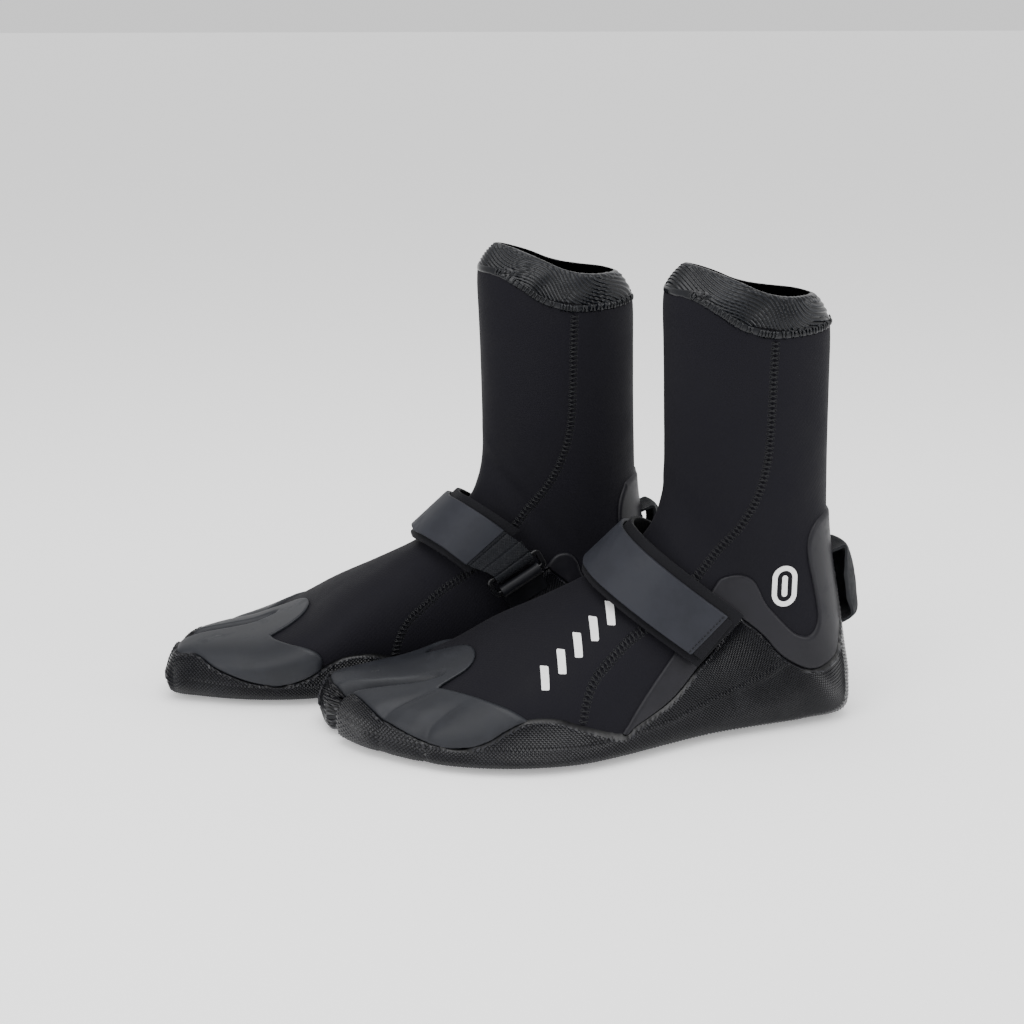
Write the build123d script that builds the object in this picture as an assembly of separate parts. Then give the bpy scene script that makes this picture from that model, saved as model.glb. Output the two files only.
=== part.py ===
from build123d import *
from math import cos, hypot, pi, sin
import os

# A pair of split-toe neoprene surf boots. All sizes in millimetres.
# Each boot is drawn in its own frame: X runs forward from the heel, Y to the outside, Z up,
# with the sole on Z = 0. The right boot is the mirror image of the left one.

NEOPRENE_THICKNESS = 5.0
CUFF_THICKNESS = 3.2
LINING_THICKNESS = 1.4
OVERLAY_THICKNESS = 1.8
TOE_CAP_THICKNESS = 2.2
LAYER_GAP = 0.05
SOLE_PANEL_TOP = 9.0
INSOLE_THICKNESS = 3.0
FOAM_BOTTOM = 3.0
SEAM_WIDTH = 6.0
SEAM_THREAD = 0.6
CUFF_BINDING_WIDTH = 4.6
TAPE_WIDTH = 12.0
TAPE_THICKNESS = 0.5
PRINT_THICKNESS = 0.3
SECTION_POINTS = 28
HALF_SPAN = 120.0
SKY = 320.0
UNDER = -20.0
SLAB_LENGTH = 500.0
SLAB_WIDTH = 300.0
SLAB_MIDDLE = 140.0

# Strap, ring and loop
STRAP_INNER = (0.0, 1.5)
HOOK_LAYER = (1.9, 2.5)
STRAP_OUTER = (2.55, 4.9)
RING_WIRE = 3.2
RING_LENGTH = 36.0
RING_DEPTH = 12.4
RING_CENTRE = (98.8, -41.6, 69.6)
RING_BAR = (0.8625, -0.165, -0.4776)
RING_UP = (0.4842, 0.0, 0.8745)
RING_CORNER = 3.0
RING_HOLE_CORNER = 1.0
RING_EDGE_RADIUS = 0.9
TAPE_PLY = 1.5
FOLD_GAP = 0.35
WEBBING_WIDTH = 26.0
WEBBING_RUN = 17.5
KEEPER_RUN = 15.0
KEEPER_SKIN_DEPTH = 5.4
WEBBING_SKIN_DEPTH = -1.6
LOOP_WIDTH = 20.0
LOOP_THICKNESS = 1.6
LOOP_END_HEIGHT = 10.0
LOOP_TOP_END = 99.5
LOOP_LOW_END = 47.0

LOOP_PATH = [
    (12.6, 95.4), (9.6, 96.4), (6.6, 92.5), (3.6, 84.5), (1.4, 75.0), (-0.2, 64.0), (-0.7, 58.0),
    (0.8, 55.2), (4.6, 53.0),
]
NOSE = 1.8

# Strap ends, each as the rise at the rear and at the front edge of the strap
STRAP_WIDTH = 28.0
STRAP_REAR_EDGE = -6.0
PLY_OUTER_END = (104.0, 110.0)
PLY_INNER_END = (136.0, 144.0)
STRAP_FREE_END = (111.5, 118.5)
STRAP_RING_END = (142.5, 149.0)
TAB_END = (107.5, 112.0)
TAB_STEP = 0.6
HOOK_END = (115.0, 122.0)
HOOK_START = 14.0
FOLD_LINE = 10.0
FOLD_HALF_GAP = 0.15

# Printed marks
BAR_COUNT = 5
BAR_FIRST = (187.0, 45.5)
BAR_LAST = (147.0, 71.0)
BAR_HALF_HEIGHT = 4.5
BAR_LOW = (-1.0, 3.0)
BAR_HIGH = (-2.5, 1.5)
OVAL_CENTRE = (53.0, 83.0)
OVAL_SPACING = 9.0
OVAL_OUTER = 14.0
OVAL_INNER = 8.5

# Placement of the pair
RIGHT_YAW = -1.58
RIGHT_SHIFT = (82.9, -95.4, 0.0)

# Sections through the outside of the neoprene, from the toes round the heel to the cuff rim.
# Columns: lower or rear end x, z; upper or front end x, z; sideways centre at each end;
# outer and inner half widths; share of the length where it is widest; lower and upper squareness.
SECTIONS = [
    (297.6, 10.5, 297.6, 16.5, -24.0, -24.0, 3.5, 3.5, 0.50, 2.2, 2.2),
    (296.3, 6.5, 296.3, 21.3, -22.0, -24.0, 12.4, 6.4, 0.50, 2.6, 2.2),
    (292.1, 4.6, 292.5, 26.3, -18.0, -22.0, 24.4, 13.4, 0.48, 3.0, 2.2),
    (281.1, 3.8, 281.9, 28.8, -13.0, -17.0, 35.4, 22.4, 0.46, 3.8, 2.5),
    (265.1, 3.2, 265.9, 30.0, -9.0, -15.0, 45.4, 32.0, 0.42, 4.2, 2.7),
    (245.1, 3.0, 245.9, 32.3, -5.0, -13.0, 55.9, 40.8, 0.38, 4.6, 2.8),
    (221.1, 3.0, 222.0, 41.4, -2.0, -12.0, 63.4, 46.8, 0.33, 4.8, 2.7),
    (197.1, 3.0, 198.0, 56.2, 0.0, -13.0, 66.9, 46.6, 0.27, 4.8, 2.4),
    (172.0, 3.0, 173.0, 69.2, 0.0, -12.0, 66.4, 42.6, 0.22, 4.8, 2.1),
    (148.0, 3.0, 149.0, 82.5, 0.0, -10.0, 60.4, 39.4, 0.20, 4.6, 1.85),
    (122.3, 3.0, 131.0, 95.0, 0.0, -7.0, 51.4, 36.4, 0.20, 4.4, 1.85),
    (92.8, 2.9, 120.0, 106.5, 0.0, -5.0, 43.1, 34.1, 0.24, 4.2, 1.9),
    (61.3, 2.7, 115.5, 116.5, 0.0, -3.0, 38.1, 32.1, 0.28, 4.0, 1.95),
    (34.6, 2.5, 113.5, 124.5, 0.0, -2.0, 35.1, 31.1, 0.32, 3.6, 2.0),
    (10.2, 4.2, 112.5, 132.5, 0.0, -1.0, 32.8, 29.8, 0.38, 3.0, 2.0),
    (6.7, 21.9, 112.3, 139.5, 0.0, -1.0, 31.7, 29.2, 0.43, 2.6, 2.1),
    (9.2, 41.7, 112.3, 146.5, 0.0, 0.0, 31.3, 29.8, 0.47, 2.3, 2.1),
    (13.0, 63.3, 112.3, 153.5, 0.0, 0.0, 31.9, 30.4, 0.49, 2.2, 2.1),
    (17.3, 87.0, 112.4, 161.5, 0.0, 0.0, 32.8, 31.3, 0.50, 2.1, 2.1),
    (21.2, 112.4, 112.6, 170.5, 0.0, 0.0, 33.5, 32.5, 0.50, 2.1, 2.1),
    (22.6, 138.0, 112.9, 181.5, 0.0, 0.0, 34.0, 33.0, 0.50, 2.1, 2.1),
    (23.5, 166.0, 113.3, 195.5, 0.0, 0.0, 34.0, 33.0, 0.50, 2.1, 2.1),
    (24.0, 192.0, 114.0, 212.5, 0.0, 0.0, 33.5, 32.5, 0.50, 2.1, 2.1),
    (24.6, 216.0, 114.8, 231.5, 0.0, 0.0, 33.0, 32.0, 0.50, 2.1, 2.1),
    (26.5, 226.0, 113.8, 241.5, 0.0, 0.0, 31.0, 30.0, 0.50, 2.1, 2.1),
    (31.5, 234.0, 109.5, 249.0, 0.0, 0.0, 26.5, 25.5, 0.50, 2.1, 2.1),
    (38.5, 240.0, 103.5, 254.5, 0.0, 0.0, 20.5, 19.5, 0.50, 2.1, 2.1),
    (46.0, 244.5, 97.5, 258.5, 0.0, 0.0, 14.0, 13.0, 0.50, 2.1, 2.1),
]
# Rubber over the neoprene at the same sections: below or behind, at the sides, on top
RUBBER = [(1.7, 2.4, 1.6), (2.6, 2.6, 2.2), (3.0, 2.6, 2.2)]
RUBBER += [(3.6, 2.6, 2.2)] * 3
RUBBER += [(3.6, 2.6, 1.8)] * 5
RUBBER += [(3.6, 2.4, 1.8)] * 3
RUBBER += [(2.8, 2.3, 1.8), (2.6, 2.2, 1.8), (2.5, 2.1, 1.8), (2.3, 2.0, 1.8)]
RUBBER += [(2.1, 1.9, 1.8)] * 10
INNER_START = 2

# Side-view lines, as (x, z)
SEAM_LINE = [
    (64.5, 219.5), (65.0, 196.7), (65.4, 170.0), (66.8, 150.0), (71.5, 132.0), (78.1, 118.0),
    (87.0, 105.5), (99.5, 90.5), (112.0, 78.5), (125.8, 68.0), (140.8, 59.5), (152.0, 51.5),
    (160.1, 45.4), (165.5, 38.3), (168.6, 30.6), (170.5, 22.0), (172.0, 10.0),
]
CUFF_LINE = [
    (0.0, 223.5), (25.0, 222.5), (37.4, 221.0), (50.8, 220.1), (65.2, 220.0), (75.9, 222.4),
    (83.6, 225.5), (93.4, 232.0), (102.4, 237.5), (108.0, 239.4), (118.0, 240.0), (SKY, 240.0),
]
RIM_LINE = [
    (0.0, 235.0), (25.0, 235.2), (38.0, 236.8), (50.0, 237.4), (61.0, 238.8), (70.6, 241.4),
    (80.0, 245.4), (90.3, 249.4), (100.0, 252.6), (110.0, 254.2), (140.0, 254.2),
]
SOLE_EDGE = [
    (310.0, 24.0), (292.0, 26.0), (281.5, 26.5), (270.5, 21.5), (251.7, 15.5), (236.0, 14.0),
    (221.5, 17.9), (210.1, 24.3), (198.8, 28.6), (184.0, 28.5), (171.1, 24.5), (148.2, 16.6),
    (140.7, 20.0), (118.8, 30.0), (99.9, 47.0), (80.5, 67.0), (76.0, 66.0), (65.2, 57.0),
    (54.6, 45.0), (39.3, 36.0), (28.0, 37.0), (19.0, 44.0), (17.0, 62.0), (20.5, 88.0),
    (19.0, 91.0), (0.0, 93.0), (-20.0, 93.0),
]
WRAP_FRONT_OUTER = [
    (148.2, 16.6), (140.4, 26.5), (128.9, 39.1), (115.2, 53.4), (101.0, 70.0), (91.5, 84.0),
    (86.8, 88.6), (77.0, 90.0), (70.5, 87.0), (67.2, 81.9), (63.1, 73.7), (54.8, 64.2),
    (46.2, 56.0), (38.0, 53.6), (33.5, 58.0), (32.5, 66.0), (36.0, 82.0), (40.0, 98.0),
    (40.0, 108.0), (36.0, 115.0), (28.0, 119.0), (0.0, 121.0), (-20.0, 121.0), (-20.0, -10.0),
    (148.2, -10.0),
]
WRAP_FRONT_INNER = [
    (136.0, 10.0), (121.0, 25.0), (109.2, 37.0), (97.6, 51.0), (87.0, 61.5), (79.5, 69.5),
    (73.5, 75.5), (66.2, 76.3), (61.0, 71.5), (58.5, 64.0), (53.0, 58.0), (46.2, 54.0),
    (38.0, 53.0), (33.5, 58.0), (32.5, 66.0), (35.0, 80.0), (36.5, 94.0), (36.0, 104.0),
    (33.0, 112.0), (28.0, 117.0), (0.0, 121.0), (-20.0, 121.0), (-20.0, -10.0), (136.0, -10.0),
]
# Plan-view outline of the smooth toe cap, as (x, y)
CAP_OUTLINE = [
    (310.0, -90.0), (310.0, 90.0), (196.0, 90.0), (197.0, 62.0), (204.0, 56.0), (212.0, 50.0),
    (219.0, 43.5), (228.0, 33.0), (235.5, 25.0), (239.5, 18.5), (231.0, 15.5), (222.5, 11.0),
    (217.5, 4.0), (216.8, -6.0), (219.5, -15.0), (227.0, -22.0), (239.5, -28.0), (236.5, -35.0),
    (228.5, -44.0), (217.6, -51.0), (206.7, -55.0), (199.0, -58.0), (197.0, -90.0),
]

# Strap path: two sections of the surface the inner strap lies on, in planes across the strap
STRAP_ALONG = (0.798, 0.602)
STRAP_ACROSS = (0.602, -0.798)
STRAP_WINDOW = (40.0, 160.0)
STRAP_REAR = (-6.0, 60.0, 167.6, 4.0, -8.0, 37.2, 33.2, 0.50, 2.4, 2.4)
STRAP_FRONT = (23.5, 60.0, 172.6, 4.0, -8.0, 44.6, 36.3, 0.50, 2.4, 2.4)
STRAP_EDGE_REAR = [(70.0, -4.0), (44.0, -4.0), (10.0, -5.5), (-10.0, -6.5), (-24.0, -9.5), (-36.0, -12.0),
                   (-70.0, -12.0)]
STRAP_EDGE_FRONT = [(70.0, 23.0), (44.0, 23.0), (10.0, 23.4), (-10.0, 22.6), (-24.0, 19.0), (-36.0, 16.5),
                    (-70.0, 16.5)]


def section_points(row, grow):
    """Points round one section, moved outwards by grow = (rear, side, front)."""
    bx, bz, tx, tz, yb, yt, wide_out, wide_in, widest, square_b, square_t = row
    length = hypot(tx - bx, tz - bz)
    ex = (tx - bx) / length
    ez = (tz - bz) / length
    bx -= ex * grow[0]
    bz -= ez * grow[0]
    length += grow[0] + grow[2]
    points = []
    for step in range(SECTION_POINTS):
        angle = 2 * pi * step / SECTION_POINTS
        c = abs(cos(angle))
        s = abs(sin(angle))
        if cos(angle) >= 0:
            along = widest * length * (1 - c ** (2 / square_b))
            side = s ** (2 / square_b)
        else:
            along = length * (widest + (1 - widest) * c ** (2 / square_t))
            side = s ** (2 / square_t)
        width = wide_out + grow[1] if sin(angle) >= 0 else -(wide_in + grow[1])
        y = width * side + yb + (yt - yb) * along / length
        points.append((bx + ex * along, y, bz + ez * along))
    return points


def closed_section(points):
    """Closed wire of two smooth halves."""
    half = len(points) // 2
    vectors = [Vector(*p) for p in points]
    outer = Edge.make_spline(vectors[:half + 1])
    inner = Edge.make_spline(vectors[half:] + vectors[:1])
    return Wire([outer, inner])


def skin(grow, start=0, nose=0.0):
    """Closed solid bounded by the boot's surface moved outwards by grow, one value or one per section."""
    wires = []
    for index in range(start, len(SECTIONS)):
        amount = grow[index] if isinstance(grow, list) else (grow, grow, grow)
        points = section_points(SECTIONS[index], amount)
        if index < 2:
            points = [(x + nose, y, z) for x, y, z in points]
        wires.append(closed_section(points))
    return Solid.make_loft(wires, True)


def rubber_grow(extra):
    """Rubber thickness at every section plus an extra."""
    return [(rear + extra, side + extra, front + extra) for rear, side, front in RUBBER]


def plate(points):
    """Side-view outline made into a wide slab across the boot."""
    wire = Wire.make_polygon([Vector(x, -HALF_SPAN, z) for x, z in points], close=True)
    return Solid.extrude(Face(wire), Vector(0, 2 * HALF_SPAN, 0))


def plan_plate(points):
    """Plan-view outline made into a tall column."""
    wire = Wire.make_polygon([Vector(x, y, UNDER) for x, y in points], close=True)
    return Solid.extrude(Face(wire), Vector(0, 0, SKY))


def half_space(outer):
    """Everything on the outer or inner side of the boot's middle."""
    y = HALF_SPAN / 2 if outer else -HALF_SPAN / 2
    return Pos(SLAB_MIDDLE, y, SKY / 2) * Box(SLAB_LENGTH, HALF_SPAN, 2 * SKY)


def slab_below(height):
    """Everything lower than a height."""
    depth = SKY / 2
    return Pos(SLAB_MIDDLE, 0, height - depth / 2) * Box(SLAB_LENGTH, SLAB_WIDTH, depth)


def ribbon(points, width):
    """Outline of a strip of the given width along a side-view line."""
    left = []
    right = []
    for index, (x, z) in enumerate(points):
        ax, az = points[max(index - 1, 0)]
        bx, bz = points[min(index + 1, len(points) - 1)]
        length = hypot(bx - ax, bz - az)
        nx = -(bz - az) / length * width / 2
        nz = (bx - ax) / length * width / 2
        left.append((x + nx, z + nz))
        right.append((x - nx, z - nz))
    return left + right[::-1]


def lowered(points, drop):
    return [(x, z - drop) for x, z in points]


def above(line):
    """Side-view area above a line."""
    return [(line[0][0], SKY), *line, (line[-1][0], SKY)]


def below(line):
    """Side-view area below a line."""
    return [(line[0][0], UNDER), *line, (line[-1][0], UNDER)]


def sole_area():
    return plate(SOLE_EDGE + [(SOLE_EDGE[-1][0], UNDER), (SOLE_EDGE[0][0], UNDER)])


def upper_parts(parts):
    """Foam rubber panels, cuff, lining and insole."""
    outside = skin(0.0)
    foam = (outside - skin(-NEOPRENE_THICKNESS, INNER_START)) & plate(below(CUFF_LINE))
    toe_side = [(SEAM_LINE[-1][0], UNDER), (SKY, UNDER), (SKY, SKY), (SEAM_LINE[0][0], SKY)]
    front_area = plate(SEAM_LINE + toe_side)
    sole_slab = slab_below(SOLE_PANEL_TOP)
    walls = foam - sole_slab
    parts["sole_panel"] = foam & sole_slab
    parts["front_panel"] = walls & front_area
    parts["rear_panel"] = walls - front_area
    cuff = outside - skin(-CUFF_THICKNESS, INNER_START)
    parts["cuff_band"] = cuff & plate(above(CUFF_LINE)) & plate(below(RIM_LINE))
    lining_out = -NEOPRENE_THICKNESS - LAYER_GAP
    lining_in = -NEOPRENE_THICKNESS - LINING_THICKNESS
    lining = skin(lining_out, INNER_START) - skin(lining_in, INNER_START)
    parts["lining"] = lining & plate(below(lowered(CUFF_LINE, 1.0)))
    inside = skin(lining_in - LAYER_GAP, INNER_START)
    insole_top = FOAM_BOTTOM - lining_in + LAYER_GAP + INSOLE_THICKNESS
    parts["insole"] = inside & slab_below(insole_top)
    tape = inside - skin(lining_in - LAYER_GAP - TAPE_THICKNESS, INNER_START)
    tape = tape & plate(ribbon(SEAM_LINE, TAPE_WIDTH)) & plate(below(lowered(CUFF_LINE, 3.0)))
    parts["inner_seam_tape"] = tape - slab_below(insole_top + 0.5)


def thread_parts(parts):
    """Overlock stitching along the panel seams and under the cuff."""
    raised = skin(SEAM_THREAD) - skin(LAYER_GAP)
    seam = raised & plate(ribbon(SEAM_LINE, SEAM_WIDTH))
    seam = seam & plate(below(lowered(CUFF_LINE, CUFF_BINDING_WIDTH / 2 + 0.2)))
    seam = seam - sole_area()
    parts["outer_seam"] = seam & half_space(True)
    parts["inner_seam"] = seam & half_space(False)
    bead = skin(SEAM_THREAD + 0.3) - skin(LAYER_GAP)
    parts["cuff_binding"] = bead & plate(ribbon(CUFF_LINE, CUFF_BINDING_WIDTH))


def rubber_parts(parts):
    """Textured sole cup, smooth toe cap and the smooth wrap round the heel."""
    body = skin(LAYER_GAP)
    sole = sole_area()
    rubber = skin(rubber_grow(0.0), nose=NOSE) - body
    parts["outsole"] = (rubber & sole) - slab_below(0.0)
    parts["toe_cap"] = (rubber & plan_plate(CAP_OUTLINE)) - sole
    wrap = (skin(OVERLAY_THICKNESS) - body) - sole
    outer = wrap & plate(WRAP_FRONT_OUTER) & half_space(True)
    inner = wrap & plate(WRAP_FRONT_INNER) & half_space(False)
    parts["heel_wrap"] = outer + inner


def strap_section(row, step, grow):
    """Closed section of the strap's path in the plane the given step along the strap's width."""
    across, low, top, yb, yt, wide_out, wide_in, widest, square_b, square_t = row
    ex, ez = STRAP_ALONG
    wx, wz = STRAP_ACROSS
    local = (0.0, low, 0.0, top, yb, yt, wide_out, wide_in, widest, square_b, square_t)
    points = section_points(local, (grow, grow, grow))
    return [(ex * s + wx * step, y, ez * s + wz * step) for _, y, s in points]


def strap_solid(grow):
    """Solid under the strap's path, running past both strap edges."""
    span = STRAP_FRONT[0] - STRAP_REAR[0]
    wires = []
    for share in (-0.5, 1.5):
        row = [a + (b - a) * share for a, b in zip(STRAP_REAR, STRAP_FRONT)]
        wires.append(closed_section(strap_section(row, STRAP_REAR[0] + span * share, grow)))
    return Solid.make_loft(wires, True)


def strap_window(points):
    """Outline in (sideways, across) carried along the strap's rise."""
    ex, ez = STRAP_ALONG
    wx, wz = STRAP_ACROSS
    start, rise = STRAP_WINDOW
    base = [Vector(ex * start + wx * c, y, ez * start + wz * c) for y, c in points]
    return Solid.extrude(Face(Wire.make_polygon(base, close=True)), Vector(ex * rise, 0, ez * rise))


def strap_band(layer, widen=(0.0, 0.0)):
    """One layer of the strap between its two long edges."""
    ring = strap_solid(layer[1]) - strap_solid(layer[0])
    rear = [(y, c - widen[0]) for y, c in STRAP_EDGE_REAR]
    front = [(y, c + widen[1]) for y, c in STRAP_EDGE_FRONT]
    return ring & strap_window(rear + front[::-1])


def side_beyond(y, outward):
    """Everything further out, or further in, than y."""
    middle = y + (HALF_SPAN if outward else -HALF_SPAN)
    return Pos(SLAB_MIDDLE, middle, SKY / 2) * Box(SLAB_LENGTH, 2 * HALF_SPAN, 2 * SKY)


def strap_piece(band, outer_cut=None, inner_cut=None, split=None):
    """Part of a strap layer. Cuts are (rise at rear edge, rise at front edge) that stay above."""
    ex, ez = STRAP_ALONG
    wx, wz = STRAP_ACROSS
    piece = band
    for cut, outer in ((outer_cut, True), (inner_cut, False)):
        if cut is None:
            continue
        slope = (cut[1] - cut[0]) / STRAP_WIDTH
        ends = []
        for across in (-HALF_SPAN, HALF_SPAN):
            rise = cut[0] + slope * (across - STRAP_REAR_EDGE)
            ends.append((ex * rise + wx * across, ez * rise + wz * across))
        (ax, az), (bx, bz) = ends
        deep = [(bx - ex * SKY, bz - ez * SKY), (ax - ex * SKY, az - ez * SKY)]
        piece = piece - (plate([(ax, az), (bx, bz)] + deep) & half_space(outer))
    if split is not None:
        y, keep_outer = split
        piece = piece & side_beyond(y, keep_outer)
    return piece


def ring_plane(along_up=0.0, along_bar=0.0):
    """Plane of the ring: X along its long bars, Y up the strap, Z outwards."""
    bar = Vector(*RING_BAR).normalized()
    up = Vector(*RING_UP).normalized()
    origin = Vector(*RING_CENTRE) + up * along_up + bar * along_bar
    return Plane(origin=origin, x_dir=bar, z_dir=bar.cross(up))


def across_plane(along_up, width):
    """Plane square to the ring's bars, starting at one end of a tape of the given width."""
    bar = Vector(*RING_BAR).normalized()
    up = Vector(*RING_UP).normalized()
    origin = Vector(*RING_CENTRE) + up * along_up - bar * (width / 2)
    return Plane(origin=origin, x_dir=up, z_dir=bar)


def ring_part():
    profile = RectangleRounded(RING_LENGTH, RING_DEPTH, RING_CORNER)
    hole = RectangleRounded(RING_LENGTH - 2 * RING_WIRE, RING_DEPTH - 2 * RING_WIRE, RING_HOLE_CORNER)
    ring = extrude(profile - hole, RING_WIRE / 2, both=True)
    ring = fillet(ring.edges(), RING_EDGE_RADIUS)
    return ring_plane() * ring


def folded_tape(along_up, toward, far, near_skin, width):
    """Tape folded round a bar. In section: a tube round the bar and one flat run away from it."""
    bore = RING_WIRE / 2 * 1.2 + FOLD_GAP
    outside = bore + TAPE_PLY
    tube = Circle(outside) - Circle(bore)
    run = make_face(Polyline(
        (toward * bore * 0.2, -outside), (toward * far, -near_skin - TAPE_PLY),
        (toward * far, -near_skin), (toward * bore * 0.2, -bore), (toward * bore * 0.2, -outside)))
    section = tube + (run - Circle(bore))
    return across_plane(along_up, width) * extrude(section, width)


def strap_parts(parts):
    """Inner ply, ring, keeper, webbing, outer strap with its free end and hook patch."""
    bar_offset = (RING_DEPTH - RING_WIRE) / 2
    inner = strap_band(STRAP_INNER, (-1.5, 2.5))
    parts["strap_inner"] = strap_piece(inner, PLY_OUTER_END, PLY_INNER_END)
    outer = strap_band(STRAP_OUTER)
    ring_side = (FOLD_LINE - FOLD_HALF_GAP, False)
    free_side = (FOLD_LINE + FOLD_HALF_GAP, True)
    parts["strap_panel"] = strap_piece(outer, STRAP_FREE_END, STRAP_RING_END, ring_side)
    parts["strap_tip"] = strap_piece(outer, STRAP_FREE_END, None, free_side)
    tab_layer = (STRAP_OUTER[0], STRAP_OUTER[1] - TAB_STEP)
    tab = strap_band(tab_layer, (-1.0, -1.0))
    tab = strap_piece(tab, TAB_END, None, free_side)
    seam_end = (STRAP_FREE_END[0] - 0.1, STRAP_FREE_END[1] - 0.1)
    low_cut = strap_piece(strap_band((1.0, 6.0), (4.0, 4.0)), seam_end)
    parts["strap_tab"] = tab - low_cut
    hook = strap_band(HOOK_LAYER, (-2.0, -2.0))
    parts["hook_patch"] = strap_piece(hook, HOOK_END, None, (HOOK_START, True))
    parts["ring"] = ring_part()
    parts["strap_webbing"] = folded_tape(bar_offset, 1.0, WEBBING_RUN, WEBBING_SKIN_DEPTH, WEBBING_WIDTH)
    keeper = folded_tape(-bar_offset, -1.0, KEEPER_RUN, KEEPER_SKIN_DEPTH, WEBBING_WIDTH)
    keeper = keeper - skin(LAYER_GAP)
    parts["ring_keeper"] = keeper - plate(WRAP_FRONT_INNER)


def loop_parts(parts):
    """Pull loop at the back of the heel and the two sewn ends that hold it."""
    outline = ribbon(LOOP_PATH, LOOP_THICKNESS)
    wire = Wire.make_polygon([Vector(x, -LOOP_WIDTH / 2, z) for x, z in outline], close=True)
    parts["heel_loop"] = Solid.extrude(Face(wire), Vector(0, LOOP_WIDTH, 0))
    cover = skin(rubber_grow(0.1 + LOOP_THICKNESS)) - skin(rubber_grow(0.1))
    window = Box(3 * LOOP_WIDTH, LOOP_WIDTH, LOOP_END_HEIGHT)
    top = cover & (Pos(0, 0, LOOP_TOP_END) * window)
    bottom = cover & (Pos(0, 0, LOOP_LOW_END) * window)
    parts["heel_loop_ends"] = top + bottom


def print_parts(parts):
    """Plain white marks printed on the outer side: a row of slanted bars and an open oval."""
    ink = (skin(LAYER_GAP + PRINT_THICKNESS) - skin(LAYER_GAP)) & half_space(True)
    bars = []
    for index in range(BAR_COUNT):
        share = index / (BAR_COUNT - 1)
        x = BAR_FIRST[0] + (BAR_LAST[0] - BAR_FIRST[0]) * share
        z = BAR_FIRST[1] + (BAR_LAST[1] - BAR_FIRST[1]) * share
        low = z - BAR_HALF_HEIGHT
        high = z + BAR_HALF_HEIGHT
        lower = [(x + BAR_LOW[0], low), (x + BAR_LOW[1], low)]
        upper = [(x + BAR_HIGH[1], high), (x + BAR_HIGH[0], high)]
        bars.append(ink & plate(lower + upper))
    parts["vamp_print"] = Compound(children=[s for bar in bars for s in bar.solids()])
    spot = Pos(OVAL_CENTRE[0], 0, OVAL_CENTRE[1]) * Rot(90, 0, 0)
    frame = spot * extrude(SlotCenterToCenter(OVAL_SPACING, OVAL_OUTER, 90), HALF_SPAN, both=True)
    hole = spot * extrude(SlotCenterToCenter(OVAL_SPACING, OVAL_INNER, 90), HALF_SPAN, both=True)
    parts["ankle_print"] = (ink & frame) - hole


def boot_parts():
    parts = {}
    upper_parts(parts)
    thread_parts(parts)
    rubber_parts(parts)
    strap_parts(parts)
    loop_parts(parts)
    print_parts(parts)
    return parts


def main():
    os.makedirs("parts", exist_ok=True)
    left = boot_parts()
    turn = Rot(0, 0, -90)
    yaw = Pos(*RIGHT_SHIFT) * Rot(0, 0, RIGHT_YAW)
    nodes = {}
    for name, shape in left.items():
        nodes["left_" + name] = turn * shape
        nodes["right_" + name] = turn * (yaw * mirror(shape, about=Plane.XZ))
    boxes = [shape.bounding_box() for shape in nodes.values()]
    middle_x = (min(b.min.X for b in boxes) + max(b.max.X for b in boxes)) / 2
    middle_y = (min(b.min.Y for b in boxes) + max(b.max.Y for b in boxes)) / 2
    bottom = min(b.min.Z for b in boxes)
    for name, shape in nodes.items():
        export_step(Pos(-middle_x, -middle_y, -bottom) * shape, "parts/" + name + ".step")


main()
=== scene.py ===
import math
import random

import bmesh
import bpy
import numpy as np
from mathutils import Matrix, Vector


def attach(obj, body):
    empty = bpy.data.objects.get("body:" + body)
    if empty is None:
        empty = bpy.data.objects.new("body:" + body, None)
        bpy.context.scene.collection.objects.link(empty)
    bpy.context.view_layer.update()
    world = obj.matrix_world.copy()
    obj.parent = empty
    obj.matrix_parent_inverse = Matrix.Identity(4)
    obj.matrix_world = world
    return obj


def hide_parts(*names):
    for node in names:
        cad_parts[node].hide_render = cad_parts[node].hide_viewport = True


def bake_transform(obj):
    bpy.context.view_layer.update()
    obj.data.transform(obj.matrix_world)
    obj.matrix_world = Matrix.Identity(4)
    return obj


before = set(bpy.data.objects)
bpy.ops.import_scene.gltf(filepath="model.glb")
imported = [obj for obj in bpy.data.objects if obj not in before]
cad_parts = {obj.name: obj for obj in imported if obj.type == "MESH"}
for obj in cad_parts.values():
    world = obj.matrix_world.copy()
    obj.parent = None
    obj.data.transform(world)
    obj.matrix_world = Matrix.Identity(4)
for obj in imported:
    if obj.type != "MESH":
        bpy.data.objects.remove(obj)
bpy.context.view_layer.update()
dice = random.Random(11)

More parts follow.
